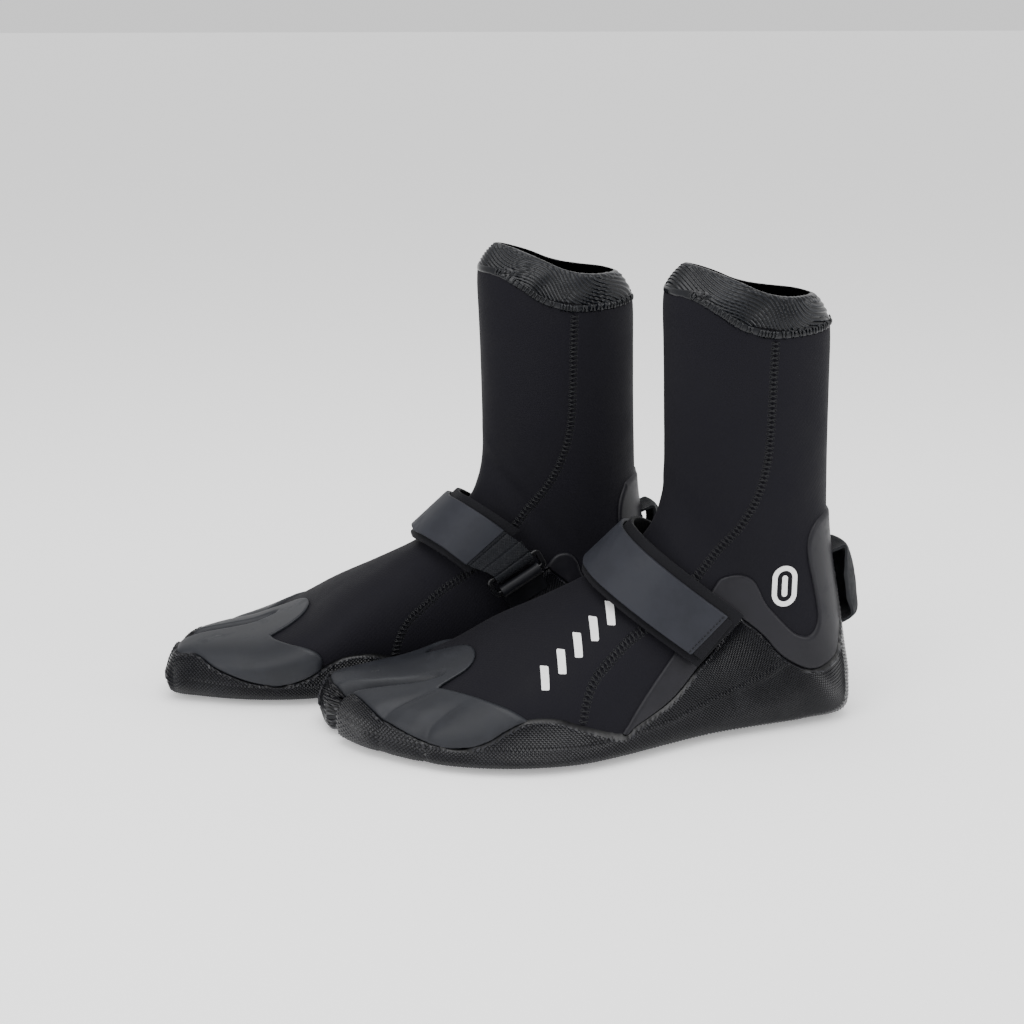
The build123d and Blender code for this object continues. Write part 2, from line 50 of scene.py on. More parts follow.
# shape of the boot
# Rows run from the toe tip round the heel to the cuff rim, in millimetres, in the boot's own frame:
# lower or rear end x, z; upper or front end x, z; sideways centre at each; outer and inner half widths;
# share of the length where it is widest; lower and upper squareness.
bootRows = np.array([
    (297.9, 13.4, 297.9, 13.6, -24, -24, 0.02, 0.02, 0.50, 2, 2),
    (297.6, 10.5, 297.6, 16.5, -24, -24, 3.5, 3.5, 0.50, 2.2, 2.2),
    (296.3, 6.5, 296.3, 21.3, -22, -24, 12.4, 6.4, 0.50, 2.6, 2.2),
    (292.1, 4.6, 292.5, 26.3, -18, -22, 24.4, 13.4, 0.48, 3, 2.2),
    (281.1, 3.8, 281.9, 28.8, -13, -17, 35.4, 22.4, 0.46, 3.8, 2.5),
    (265.1, 3.2, 265.9, 30, -9, -15, 45.4, 32, 0.42, 4.2, 2.7),
    (245.1, 3, 245.9, 32.3, -5, -13, 55.9, 40.8, 0.38, 4.6, 2.8),
    (221.1, 3, 222, 41.4, -2, -12, 63.4, 46.8, 0.33, 4.8, 2.7),
    (197.1, 3, 198, 56.2, 0, -13, 66.9, 46.6, 0.27, 4.8, 2.4),
    (172, 3, 173, 69.2, 0, -12, 66.4, 42.6, 0.22, 4.8, 2.1),
    (148, 3, 149, 82.5, 0, -10, 60.4, 39.4, 0.20, 4.6, 1.85),
    (122.3, 3, 131, 95, 0, -7, 51.4, 36.4, 0.20, 4.4, 1.85),
    (92.8, 2.9, 120, 106.5, 0, -5, 43.1, 34.1, 0.24, 4.2, 1.9),
    (61.3, 2.7, 115.5, 116.5, 0, -3, 38.1, 32.1, 0.28, 4, 1.95),
    (34.6, 2.5, 113.5, 124.5, 0, -2, 35.1, 31.1, 0.32, 3.6, 2),
    (10.2, 4.2, 112.5, 132.5, 0, -1, 32.8, 29.8, 0.38, 3, 2),
    (6.7, 21.9, 112.3, 139.5, 0, -1, 31.7, 29.2, 0.43, 2.6, 2.1),
    (9.2, 41.7, 112.3, 146.5, 0, 0, 31.3, 29.8, 0.47, 2.3, 2.1),
    (13, 63.3, 112.3, 153.5, 0, 0, 31.9, 30.4, 0.49, 2.2, 2.1),
    (17.3, 87, 112.4, 161.5, 0, 0, 32.8, 31.3, 0.50, 2.1, 2.1),
    (21.2, 112.4, 112.6, 170.5, 0, 0, 33.5, 32.5, 0.50, 2.1, 2.1),
    (22.6, 138, 112.9, 181.5, 0, 0, 34, 33, 0.50, 2.1, 2.1),
    (23.5, 166, 113.3, 195.5, 0, 0, 34, 33, 0.50, 2.1, 2.1),
    (24, 192, 114, 212.5, 0, 0, 33.5, 32.5, 0.50, 2.1, 2.1),
    (24.6, 216, 114.8, 231.5, 0, 0, 33, 32, 0.50, 2.1, 2.1),
    (26.5, 226, 113.8, 241.5, 0, 0, 31, 30, 0.50, 2.1, 2.1),
    (31.5, 234, 109.5, 249, 0, 0, 26.5, 25.5, 0.50, 2.1, 2.1),
    (38.5, 240, 103.5, 254.5, 0, 0, 20.5, 19.5, 0.50, 2.1, 2.1),
    (46, 244.5, 97.5, 258.5, 0, 0, 14, 13, 0.50, 2.1, 2.1),
])
# rubber over the neoprene at the same rows: below or behind, at the sides, on top
rubberRows = np.array(
    [(1.7, 2.4, 1.6)] * 2 + [(2.6, 2.6, 2.2)] + [(3, 2.6, 2.2)] * 4 + [(3, 2.6, 1.8)] * 5
    + [(3, 2.4, 1.8)] * 3 + [(2.8, 2.3, 1.8), (2.6, 2.2, 1.8), (2.5, 2.1, 1.8), (2.3, 2, 1.8)]
    + [(2.1, 1.9, 1.8)] * 10)
lastRow = len(bootRows) - 1
placing = {"shift": (50.39626, 190.75785, 0.0), "yaw": -1.58, "rightShift": (82.9, -95.4)}
sides = ("left", "right")


# Boot-frame millimetres to the shared frame in metres.
def toRow(points, side):
    p = np.asarray(points, float)
    x, y, z = p[..., 0], p[..., 1], p[..., 2]
    if side == "right":
        a = math.radians(placing["yaw"])
        y = -y
        x, y = x * math.cos(a) - y * math.sin(a), x * math.sin(a) + y * math.cos(a)
        x = x + placing["rightShift"][0]
        y = y + placing["rightShift"][1]
    sx, sy, sz = placing["shift"]
    return np.stack([y + sx, sy - x, z + sz], -1) * 0.001


# Smooth values between the rows of a table.
def alongTable(table, t):
    t = np.clip(t, 0, len(table) - 1.0001)
    i = np.floor(t).astype(int)
    u = (t - i)[..., None]
    p0, p1 = table[np.maximum(i - 1, 0)], table[i]
    p2, p3 = table[np.minimum(i + 1, len(table) - 1)], table[np.minimum(i + 2, len(table) - 1)]
    return 0.5 * (2 * p1 + (p2 - p0) * u + (2 * p0 - 5 * p1 + 4 * p2 - p3) * u * u
                  + (3 * p1 - p0 - 3 * p2 + p3) * u ** 3)


# Length along a path at each of its points.
def runOf(path):
    return np.concatenate([[0], np.cumsum(np.linalg.norm(np.diff(path, axis=0), axis=1))])


# Angle round a section, finer near its two ends.
def angleOf(q):
    a, b = q ** 2.4, (1 - q) ** 2.4
    return np.pi * a / (a + b)


# Point of the section at t. q runs from the lower end (0) to the upper end (1).
def sectionPoint(t, q, outside, rear, side, front):
    row = np.moveaxis(alongTable(bootRows, t), -1, 0)
    bx, bz, tx, tz, yb, yt, wideOut, wideIn, widest, squareB, squareT = row
    length = np.hypot(tx - bx, tz - bz)
    half = np.where(outside, wideOut, wideIn)
    forward = np.clip(1 - t / 3.5, 0, 1) * side
    rear = np.maximum(rear, -0.42 * length)
    front = np.maximum(front, -0.42 * length)
    side = np.maximum(side, -0.8 * half)
    ex, ez = (tx - bx) / length, (tz - bz) / length
    bx, bz = bx - ex * rear, bz - ez * rear
    length = length + rear + front
    angle = angleOf(q)
    c, s = np.abs(np.cos(angle)), np.abs(np.sin(angle))
    low = np.cos(angle) >= 0
    along = np.where(low, widest * length * (1 - c ** (2 / squareB)),
                     length * (widest + (1 - widest) * c ** (2 / squareT)))
    reach = np.where(low, s ** (2 / squareB), s ** (2 / squareT))
    y = np.where(outside, 1, -1) * (half + side) * reach + yb + (yt - yb) * along / length
    return np.stack([bx + ex * along + forward, y, bz + ez * along], -1)


print("measuring the sections")
ruler = {"stations": np.linspace(0, lastRow, 8 * lastRow + 1), "shares": np.linspace(0, 1, 129)}


# For each station: q at even shares of the half girth, and the half girth itself.
def measured(outside):
    dense = np.linspace(0, 1, 361)
    t = np.repeat(ruler["stations"][:, None], len(dense), 1)
    p = sectionPoint(t, np.repeat(dense[None], len(t), 0), outside, 0.0, 0.0, 0.0)
    run = np.cumsum(np.linalg.norm(np.diff(p, axis=1), axis=2), axis=1)
    run = np.concatenate([np.zeros((len(t), 1)), run], 1)
    q = np.array([np.interp(ruler["shares"] * r[-1], r, dense) for r in run])
    return q, run[:, -1]


qOuter, girthOuter = measured(True)
qInner, girthInner = measured(False)
backRun = runOf(alongTable(bootRows, ruler["stations"])[:, :2])


def shareToQ(t, w):
    i = np.clip(t * 8, 0, len(ruler["stations"]) - 1.001)
    j = np.clip(np.abs(w) * 128, 0, 127.999)
    i0, j0 = i.astype(int), j.astype(int)
    u, v = i - i0, j - j0
    out = []
    for table in (qOuter, qInner):
        low = table[i0, j0] * (1 - v) + table[i0, j0 + 1] * v
        high = table[i0 + 1, j0] * (1 - v) + table[i0 + 1, j0 + 1] * v
        out.append(low * (1 - u) + high * u)
    return np.where(w >= 0, out[0], out[1])


def girth(t, w):
    return np.where(w >= 0, np.interp(t * 8, np.arange(len(girthOuter)), girthOuter),
                    np.interp(t * 8, np.arange(len(girthInner)), girthInner))


# outlines
# A curve through the points.
def smooth(points, steps=5, closed=False):
    p = np.array(points, float)
    n = len(p)
    out = []
    for i in range(n if closed else n - 1):
        if closed:
            a, b, c, d = p[i - 1], p[i], p[(i + 1) % n], p[(i + 2) % n]
        else:
            a, b, c, d = p[max(i - 1, 0)], p[i], p[i + 1], p[min(i + 2, n - 1)]
        for u in np.arange(steps) / steps:
            out.append(0.5 * (2 * b + (c - a) * u + (2 * a - 5 * b + 4 * c - d) * u * u
                              + (3 * b - a - 3 * c + d) * u ** 3))
    if not closed:
        out.append(p[-1])
    return np.array(out)


# Distance to a polyline, and the run along it where it is nearest.
def nearest(px, py, line, closed=False):
    line = np.asarray(line, float)
    if closed:
        line = np.concatenate([line, line[:1]])
    best = np.full(px.shape, 1e9)
    where = np.zeros(px.shape)
    run = 0.0
    for a, b in zip(line[:-1], line[1:]):
        d = b - a
        size = float(np.hypot(*d))
        if size < 1e-9:
            continue
        u = np.clip(((px - a[0]) * d[0] + (py - a[1]) * d[1]) / size ** 2, 0, 1)
        far = np.hypot(px - a[0] - u * d[0], py - a[1] - u * d[1])
        closer = far < best
        best = np.where(closer, far, best)
        where = np.where(closer, run + u * size, where)
        run += size
    return best, where


# Distance inside a closed outline, negative outside it.
def within(px, py, polygon):
    best, _ = nearest(px, py, polygon, True)
    inside = np.zeros(px.shape, bool)
    poly = np.asarray(polygon, float)
    for a, b in zip(poly, np.roll(poly, -1, 0)):
        cross = (a[1] > py) != (b[1] > py)
        slope = (b[0] - a[0]) / (b[1] - a[1] + 1e-12)
        inside ^= cross & (px < a[0] + (py - a[1]) * slope)
    return np.where(inside, best, -best)


outlines = {
    "seam": smooth([(64, 262), (64.5, 219.5), (65, 196.7), (65.4, 170), (66.8, 150), (71.5, 132),
                    (78.1, 118), (87, 105.5), (99.5, 90.5), (112, 78.5), (125.8, 68), (140.8, 59.5),
                    (152, 51.5), (160.1, 45.4), (165.5, 38.3), (168.6, 30.6), (170.5, 22), (172, 10),
                    (172.5, -20)]),
    "cuffLow": smooth([(-20, 224.5), (0, 223.5), (25, 222.5), (37.4, 221), (50.8, 220.1), (65.2, 220),
                       (75.9, 222.4), (83.6, 225.5), (93.4, 232), (102.4, 237.5), (108, 239.4),
                       (118, 240), (330, 240)]),
    "rim": smooth([(-20, 235), (0, 235), (25, 235.2), (38, 236.8), (50, 237.4), (61, 238.8),
                   (70.6, 241.4), (80, 245.4), (90.3, 249.4), (100, 252.6), (110, 254.2), (140, 254.2)]),
    "soleTop": smooth([(330, 24), (310, 24), (292, 26), (281.5, 26.5), (270.5, 21.5), (251.7, 15.5),
                       (236, 14), (221.5, 17.9), (210.1, 24.3), (198.8, 28.6), (184, 28.5), (171.1, 24.5),
                       (148.2, 16.6), (140.7, 20), (118.8, 30), (99.9, 47), (80.5, 67), (76, 66),
                       (65.2, 57), (54.6, 45), (39.3, 36), (28, 37), (19, 44), (16, 62),
                       (19, 86), (17, 92), (0, 93), (-20, 93)]),
    "wrapOuter": smooth([(154, 12), (148.2, 16.6), (140.4, 26.5), (128.9, 39.1), (115.2, 53.4), (101, 70),
                         (91.5, 84), (86.8, 88.6), (77, 90), (70.5, 87), (67.2, 81.9), (63.1, 73.7),
                         (54.8, 64.2), (46.2, 56), (38, 53.6), (33.5, 58), (32.5, 66), (36, 82),
                         (40, 98), (40, 108), (36, 115), (28, 119), (0, 121),
                         (-20, 121)]),
    "wrapInner": smooth([(142, 8), (136, 10), (121, 25), (109.2, 37), (97.6, 51), (87, 61.5),
                         (79.5, 69.5), (73.5, 75.5), (66.2, 76.3), (61, 71.5), (58.5, 64), (53, 58),
                         (46.2, 54), (38, 53), (33.5, 58), (32.5, 66), (35, 80), (36.5, 94),
                         (36, 104), (33, 112), (28, 117), (0, 121), (-20, 121)]),
    "cap": np.concatenate([
        [(330, -90), (330, 90), (196, 90)],
        smooth([(197, 70), (197.5, 61), (204, 56), (212, 50), (219, 43.5), (228, 33),
                (234, 25.6), (239.5, 18.8)]),
        smooth([(239.5, 18.8), (231, 16), (222.5, 13), (217.5, 6), (216.4, -5), (219.5, -15),
                (227, -22), (239.5, -28)])[1:],
        smooth([(239.5, -28), (236.5, -35), (228.5, -44), (217.6, -51), (206.7, -55), (199, -58),
                (197, -70)])[1:],
        [(197, -90)]]),
}
soleArea = np.concatenate([outlines["soleTop"], [(-20, -30), (330, -30)]])
frontArea = np.concatenate([outlines["seam"], [(330, -20), (330, 262)]])
belowCuff = np.concatenate([outlines["cuffLow"], [(330, -40), (-20, -40)]])
belowRim = np.concatenate([outlines["rim"], [(330, 254.2), (330, -40), (-20, -40)]])
wrapEnds = [(-20.0, -20.0), (160.0, -20.0)]
wrapAreas = [np.concatenate([outlines[key], wrapEnds]) for key in ("wrapOuter", "wrapInner")]

# the gap beside the big toe and the two shallow creases over the other toes, as (x, y, depth, half width)
toe = {"from": 222.0, "probe": 0.02, "tip": 2.2, "tipFade": 1.2, "soften": 1.6, "floor": 3.2, "fade": 7.0,
       "least": 0.12}
toeGap = np.array([(316, -6, 15, 8), (290, -3.5, 16, 7), (276, -1, 13, 5.6),
                   (262, 1, 10.5, 5), (250, 3, 7.5, 4.6), (241, 5, 4, 4.2), (234, 7, 0, 4)])
toeCreases = [
    np.array([(276, 28.5, 0.6, 5), (269.3, 24.9, 2, 8), (260, 22.6, 1.8, 8), (250, 20.5, 1.4, 7),
              (240, 18.8, 0.8, 5)]),
    np.array([(254, 47, 1.4, 6), (249.5, 42, 2, 9), (240, 39.5, 1.8, 9), (227.5, 38.5, 0.4, 7)]),
]


# How far the rubber and foam are pressed in at the toe gap and creases.
def toeDent(x, y):
    total = np.zeros(x.shape)
    for line in [toeGap] + toeCreases:
        fine = smooth(line, 4)
        away, where = nearest(x, y, fine[:, :2])
        run = runOf(fine[:, :2])
        depth = np.interp(where, run, fine[:, 2])
        half = np.interp(where, run, fine[:, 3])
        total += depth * np.clip(1 - away / half, 0, 1) ** 2
    return total


# Point at station t and signed share w of the half girth, moved outwards.
def place(t, w, rear, side, front, dented=True):
    t, w = np.asarray(t, float), np.asarray(w, float)
    q = shareToQ(t, w)
    point = sectionPoint(t, q, w >= 0, rear, side, front)
    if not dented:
        return point
    base = sectionPoint(t, q, w >= 0, 0.0, 0.0, 0.0)
    near = base[..., 0] > toe["from"]
    if not near.any():
        return point
    tn, wn, basis = t[near], w[near], base[near]
    step = toe["probe"]
    ahead = sectionPoint(tn + step, shareToQ(tn + step, wn), wn >= 0, 0.0, 0.0, 0.0)
    around = sectionPoint(tn, np.minimum(q[near] + step / 4, 1), wn >= 0, 0.0, 0.0, 0.0)
    around = np.where((q[near] > 0.98)[..., None], 2 * basis - sectionPoint(
        tn, q[near] - step / 4, wn >= 0, 0.0, 0.0, 0.0), around)
    normal = np.cross(ahead - basis, around - basis)
    normal = np.where((wn >= 0)[..., None], normal, -normal)
    normal /= np.linalg.norm(normal, axis=-1, keepdims=True) + 1e-12
    tip = np.clip((toe["tip"] - tn) / toe["tipFade"], 0, 1)[..., None]
    normal = normal * (1 - tip) + np.array([1.0, 0.0, 0.0]) * tip
    out = np.stack([np.maximum(normal[:, 0], 0), np.zeros(len(normal)), normal[:, 2]], -1)
    size = np.linalg.norm(out, axis=-1, keepdims=True)
    out = out / (size + 1e-9) * np.clip(size * toe["soften"], 0, 1)
    under = np.clip((basis[:, 2] - toe["floor"]) / toe["fade"], toe["least"], 1)
    point[near] = point[near] - out * (toeDent(basis[:, 0], basis[:, 1]) * under)[:, None]
    return point


# Stations about one step apart along the back and underside.
def evenStations(start, end, step):
    a, b = np.interp([start * 8, end * 8], np.arange(len(backRun)), backRun)
    count = max(int(round(abs(b - a) / step)), 2)
    return np.interp(np.linspace(a, b, count + 1), backRun, np.arange(len(backRun))) / 8


# mesh making
# Cuts the faces of a grid along levels of f. Nothing below the first level is kept.
def splitFaces(t, w, f, faces, levels, snap):
    t, w, f = list(t), list(w), list(f)
    for order, level in enumerate(levels):
        values = [0.0 if abs(v - level) < snap else v - level for v in f]
        made, kept = {}, []
        for face in faces:
            vs = [values[k] for k in face]
            if min(vs) >= 0:
                kept.append(face)
                continue
            if max(vs) <= 0:
                if order:
                    kept.append(face)
                continue
            over, under = [], []
            for a, b in zip(face, face[1:] + face[:1]):
                va, vb = values[a], values[b]
                if va >= 0:
                    over.append(a)
                if va <= 0:
                    under.append(a)
                if va * vb < 0:
                    key = (a, b) if a < b else (b, a)
                    if key not in made:
                        share = va / (va - vb)
                        made[key] = len(t)
                        t.append(t[a] + (t[b] - t[a]) * share)
                        w.append(w[a] + (w[b] - w[a]) * share)
                        f.append(level)
                        values.append(0.0)
                    over.append(made[key])
                    under.append(made[key])
            if len(over) > 2:
                kept.append(over)
            if order and len(under) > 2:
                kept.append(under)
        for k, v in enumerate(values):
            if v == 0.0:
                f[k] = level
        faces = kept
    return np.array(t), np.array(w), np.array(f), faces


# Mesh object from boot-frame points. The right boot is the mirror image, so its faces turn over.
def makeObject(name, points, faces, side, uv=None, angle=None, weld=1e-6, relief=None):
    if side == "right":
        faces = [face[::-1] for face in faces]
    mesh = bpy.data.meshes.new(name)
    mesh.from_pydata(toRow(points, side).tolist(), [], faces)
    if uv is not None:
        layer = mesh.uv_layers.new(name="cloth")
        corners = np.empty(len(mesh.loops), int)
        mesh.loops.foreach_get("vertex_index", corners)
        layer.data.foreach_set("uv", np.asarray(uv, float)[corners].ravel())
    if relief is not None:
        mark = mesh.attributes.new("relief", "FLOAT", "POINT")
        mark.data.foreach_set("value", np.asarray(relief, np.float32))
    obj = bpy.data.objects.new(name, mesh)
    bpy.context.scene.collection.objects.link(obj)
    work = bmesh.new()
    work.from_mesh(mesh)
    bmesh.ops.remove_doubles(work, verts=work.verts, dist=weld)
    bmesh.ops.dissolve_degenerate(work, dist=weld, edges=work.edges)
    bmesh.ops.recalc_face_normals(work, faces=work.faces)
    work.to_mesh(mesh)
    work.free()
    for p in mesh.polygons:
        p.use_smooth = True
    if angle:
        mesh.set_sharp_from_angle(angle=math.radians(angle))
    return obj


# A closed layer of the boot: a grid of stations and shares, trimmed to where inside() is above 0.
# The two grow functions give (rear, side, front) offsets from (t, w, f, base point).
def shell(name, side, stations, shares, inside, outerGrow, innerGrow, levels=(0.0,), angle=40, snap=0.03,
          dented=True, relief=None):
    t, w = np.broadcast_arrays(stations[:, None], shares)
    t, w = t.ravel().astype(float), w.ravel().astype(float)
    rows, cols = len(stations), shares.shape[-1]
    base = place(t, w, 0.0, 0.0, 0.0, False)
    f = inside(base, t, w)
    index = np.arange(rows * cols).reshape(rows, cols)
    quads = np.stack([index[:-1, :-1], index[1:, :-1], index[1:, 1:], index[:-1, 1:]], -1).reshape(-1, 4)
    keep = f[quads].max(1) > levels[0]
    t, w, f, faces = splitFaces(t, w, f, quads[keep].tolist(), levels, snap)
    used = np.unique(np.concatenate([np.array(face) for face in faces]))
    renumber = np.full(len(t), -1)
    renumber[used] = np.arange(len(used))
    t, w, f = t[used], w[used], f[used]
    faces = [[int(renumber[k]) for k in face] for face in faces]
    base = place(t, w, 0.0, 0.0, 0.0, False)
    outer = place(t, w, *outerGrow(t, w, f, base), dented)
    inner = place(t, w, *innerGrow(t, w, f, base), dented)
    n = len(t)
    canon = {}
    same = [canon.setdefault(tuple(key), k) for k, key in enumerate(np.round(outer, 3).tolist())]
    border = {}
    for face in faces:
        for a, b in zip(face, face[1:] + face[:1]):
            if same[a] == same[b]:
                continue
            key = (min(same[a], same[b]), max(same[a], same[b]))
            border[key] = None if key in border else (a, b)
    walls = [[b, a, a + n, b + n] for a, b in (e for e in border.values() if e)]
    raised = relief(t, w, f, base) if relief else np.zeros(n)
    top = []
    for face in faces:
        if relief and len(face) == 4:
            a, b, c, d = face
            if raised[a] + raised[c] > raised[b] + raised[d]:
                top += [[a, b, d], [b, c, d]]
                continue
            if raised[a] + raised[c] < raised[b] + raised[d]:
                top += [[a, b, c], [a, c, d]]
                continue
        top.append(face)
    allFaces = top + [[k + n for k in face[::-1]] for face in faces] + walls
    run = np.interp(t * 8, np.arange(len(backRun)), backRun) * 0.001
    uv = np.stack([run, w * girth(t, w) * 0.001], -1)
    return makeObject(name, np.concatenate([outer, inner]), allFaces, side, np.concatenate([uv, uv]), angle,
                      relief=np.concatenate([raised, np.zeros(n)]))


# Closed piece between two matching grids of points.
def slab(name, side, outer, inner, angle=40):
    rows, cols = outer.shape[:2]
    n = rows * cols
    index = np.arange(n).reshape(rows, cols)
    faces = []
    for i in range(rows - 1):
        for j in range(cols - 1):
            a, d = int(index[i, j]), int(index[i, j + 1])
            b, c = int(index[i + 1, j]), int(index[i + 1, j + 1])
            faces.append([a, b, c, d])
            faces.append([d + n, c + n, b + n, a + n])
    loop = list(index[0, :-1]) + list(index[:-1, -1]) + list(index[-1, :0:-1]) + list(index[:0:-1, 0])
    for a, b in zip(loop, loop[1:] + loop[:1]):
        faces.append([int(a), int(b), int(b) + n, int(a) + n])
    span = np.linalg.norm(np.diff(outer, axis=1), axis=2).sum(1).mean() * 0.001
    wide = np.linalg.norm(outer[0, cols // 2] - outer[-1, cols // 2]) * 0.001
    v, u = np.meshgrid(np.linspace(0, span, cols), np.linspace(0, wide, rows))
    uv = np.stack([u.ravel(), v.ravel()], -1)
    return makeObject(name, np.concatenate([outer.reshape(-1, 3), inner.reshape(-1, 3)]), faces, side,
                      np.concatenate([uv, uv]), angle)


def even(value):
    return lambda t, w, f, base: (value, value, value)


# 0 at the edge rising to 1 one radius inside it, as a quarter circle.
def rounded(f, radius):
    u = np.clip(f / radius, 0, 1)
    return np.sqrt(np.clip(1 - (1 - u) ** 2, 0, 1))


# Shares all the way round, about one step apart at station t.
def wholeRing(step, t):
    size = float(girth(np.array([t]), np.array([1.0]))[0])
    count = int(round(size / step))
    return np.linspace(-1, 1, 2 * count + 1)[None]


# Puts a finished piece on its body in place of its CAD nodes.
def finish(obj, side, body, nodes, material):
    obj.data.materials.clear()
    obj.data.materials.append(material)
    if body:
        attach(obj, side + "_" + body)
    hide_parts(*[side + "_" + n for n in nodes])
    return obj


# shader groups
def groupOf(name, inputs, outputs):
    tree = bpy.data.node_groups.new(name, "ShaderNodeTree")
    for label, kind, value in inputs:
        s = tree.interface.new_socket(label, in_out="INPUT", socket_type=kind)
        if value is not None:
            s.default_value = value
    for label, kind in outputs:
        tree.interface.new_socket(label, in_out="OUTPUT", socket_type=kind)
    enter = tree.nodes.new("NodeGroupInput")
    leave = tree.nodes.new("NodeGroupOutput")
    return tree, enter, leave


# A node with its settings, and links given as (socket name or number, value or output socket).
def add(tree, kind, links=(), **settings):
    node = tree.nodes.new(kind)
    for key, value in settings.items():
        setattr(node, key, value)
    for key, value in links:
        if isinstance(value, bpy.types.NodeSocket):
            tree.links.new(value, node.inputs[key])
        else:
            node.inputs[key].default_value = value
    return node


# Fine jersey face cloth: rows of tiny stitches and a soft mottle.
def knitGroup():
    tree, enter, leave = groupOf("jerseyKnit", [("Scale", "NodeSocketFloat", 1500.0)],
                                 [("Height", "NodeSocketFloat"), ("Mottle", "NodeSocketFloat")])
    uv = add(tree, "ShaderNodeUVMap", uv_map="cloth")
    turned = add(tree, "ShaderNodeMapping", [(0, uv.outputs[0]), ("Rotation", (0.0, 0.0, 0.6))])
    rows = add(tree, "ShaderNodeTexWave", [(0, turned.outputs[0]), ("Scale", 190.0), ("Distortion", 1.5),
                                           ("Detail Scale", 3.0)], bands_direction="X")
    across = add(tree, "ShaderNodeTexWave", [(0, turned.outputs[0]), ("Scale", 150.0), ("Distortion", 1.0)],
                 bands_direction="Y")
    mixed = add(tree, "ShaderNodeMath", [(0, rows.outputs["Fac"]), (1, across.outputs["Fac"])],
                operation="MULTIPLY")
    where = add(tree, "ShaderNodeTexCoord")
    fuzz = add(tree, "ShaderNodeTexNoise", [(0, where.outputs["Object"]), (2, enter.outputs[0]), (3, 3.0)])
    height = add(tree, "ShaderNodeMath", [(0, mixed.outputs[0]), (1, 0.6), (2, fuzz.outputs["Fac"])],
                 operation="MULTIPLY_ADD")
    broad = add(tree, "ShaderNodeTexNoise", [(0, where.outputs["Object"]), (2, 28.0), (3, 5.0), (4, 0.65)])
    tree.links.new(height.outputs[0], leave.inputs[0])
    tree.links.new(broad.outputs["Fac"], leave.inputs[1])
    return tree


# Moulded rubber: fine grain, faint flow marks and dust.
def rubberGroup():
    tree, enter, leave = groupOf("mouldedRubber", [("Grain", "NodeSocketFloat", 900.0)],
                                 [("Height", "NodeSocketFloat"), ("Dust", "NodeSocketFloat"),
                                  ("Flow", "NodeSocketFloat")])
    where = add(tree, "ShaderNodeTexCoord")
    grain = add(tree, "ShaderNodeTexNoise", [(0, where.outputs["Object"]), (2, enter.outputs[0]), (3, 4.0)])
    dust = add(tree, "ShaderNodeTexNoise", [(0, where.outputs["Object"]), (2, 42.0), (3, 8.0), (4, 0.7)])
    ramp = add(tree, "ShaderNodeMapRange", [(0, dust.outputs["Fac"]), (1, 0.42), (2, 0.78)])
    flow = add(tree, "ShaderNodeTexNoise", [(0, where.outputs["Object"]), (2, 14.0), (3, 2.0)])
    tree.links.new(grain.outputs["Fac"], leave.inputs[0])
    tree.links.new(ramp.outputs[0], leave.inputs[1])
    tree.links.new(flow.outputs["Fac"], leave.inputs[2])
    return tree


# Twisted yarn for stitches, webbing and tape edges.
def threadGroup():
    tree, enter, leave = groupOf("twistedYarn", [("Scale", "NodeSocketFloat", 700.0)],
                                 [("Height", "NodeSocketFloat"), ("Shade", "NodeSocketFloat")])
    where = add(tree, "ShaderNodeTexCoord")
    turned = add(tree, "ShaderNodeMapping", [(0, where.outputs["Object"]), ("Rotation", (0.5, 0.7, 0.4))])
    twist = add(tree, "ShaderNodeTexWave", [(0, turned.outputs[0]), ("Scale", enter.outputs[0]),
                                            ("Distortion", 2.0)])
    shade = add(tree, "ShaderNodeTexNoise", [(0, where.outputs["Object"]), (2, 260.0), (3, 3.0)])
    tree.links.new(twist.outputs["Fac"], leave.inputs[0])
    tree.links.new(shade.outputs["Fac"], leave.inputs[1])
    return tree


print("making the materials")
groups = {"knit": knitGroup(), "rubber": rubberGroup(), "thread": threadGroup()}


# Principled material: colour between two tones, roughness range and bump from one shader group.
# valleyShade is the share of the colour left in the low places of a piece's own relief: painted shade
# darkening the grooves and the hollows between the knobs.
def material(name, group, dark, light, rough, bump, distance, mix=1, roughMix=1, valleyShade=None, **constants):
    m = bpy.data.materials.new(name)
    m.use_nodes = True
    tree = m.node_tree
    shader = tree.nodes["Principled BSDF"]
    effect = add(tree, "ShaderNodeGroup", node_tree=groups[group])
    ramp = add(tree, "ShaderNodeMix", [(0, effect.outputs[mix]), (6, (*dark, 1)), (7, (*light, 1))],
               data_type="RGBA")
    colour = ramp.outputs[2]
    if valleyShade is not None:
        # painted shade: the base colour is scaled down in the low places of the relief attribute
        raised = add(tree, "ShaderNodeAttribute", attribute_name="relief")
        share = add(tree, "ShaderNodeMapRange", [(0, raised.outputs["Fac"]), (3, valleyShade), (4, 1.0)])
        shaded = add(tree, "ShaderNodeVectorMath", [(0, colour), ("Scale", share.outputs[0])],
                     operation="SCALE")
        colour = shaded.outputs[0]
    tree.links.new(colour, shader.inputs["Base Color"])
    gloss = add(tree, "ShaderNodeMapRange", [(0, effect.outputs[roughMix]), (1, 0.25), (2, 0.75),
                                             (3, rough[0]), (4, rough[1])])
    tree.links.new(gloss.outputs[0], shader.inputs["Roughness"])
    relief = add(tree, "ShaderNodeBump", [("Strength", bump), ("Distance", distance),
                                          ("Height", effect.outputs[0])])
    tree.links.new(relief.outputs[0], shader.inputs["Normal"])
    for key, value in constants.items():
        shader.inputs[key.replace("_", " ")].default_value = value
    return m


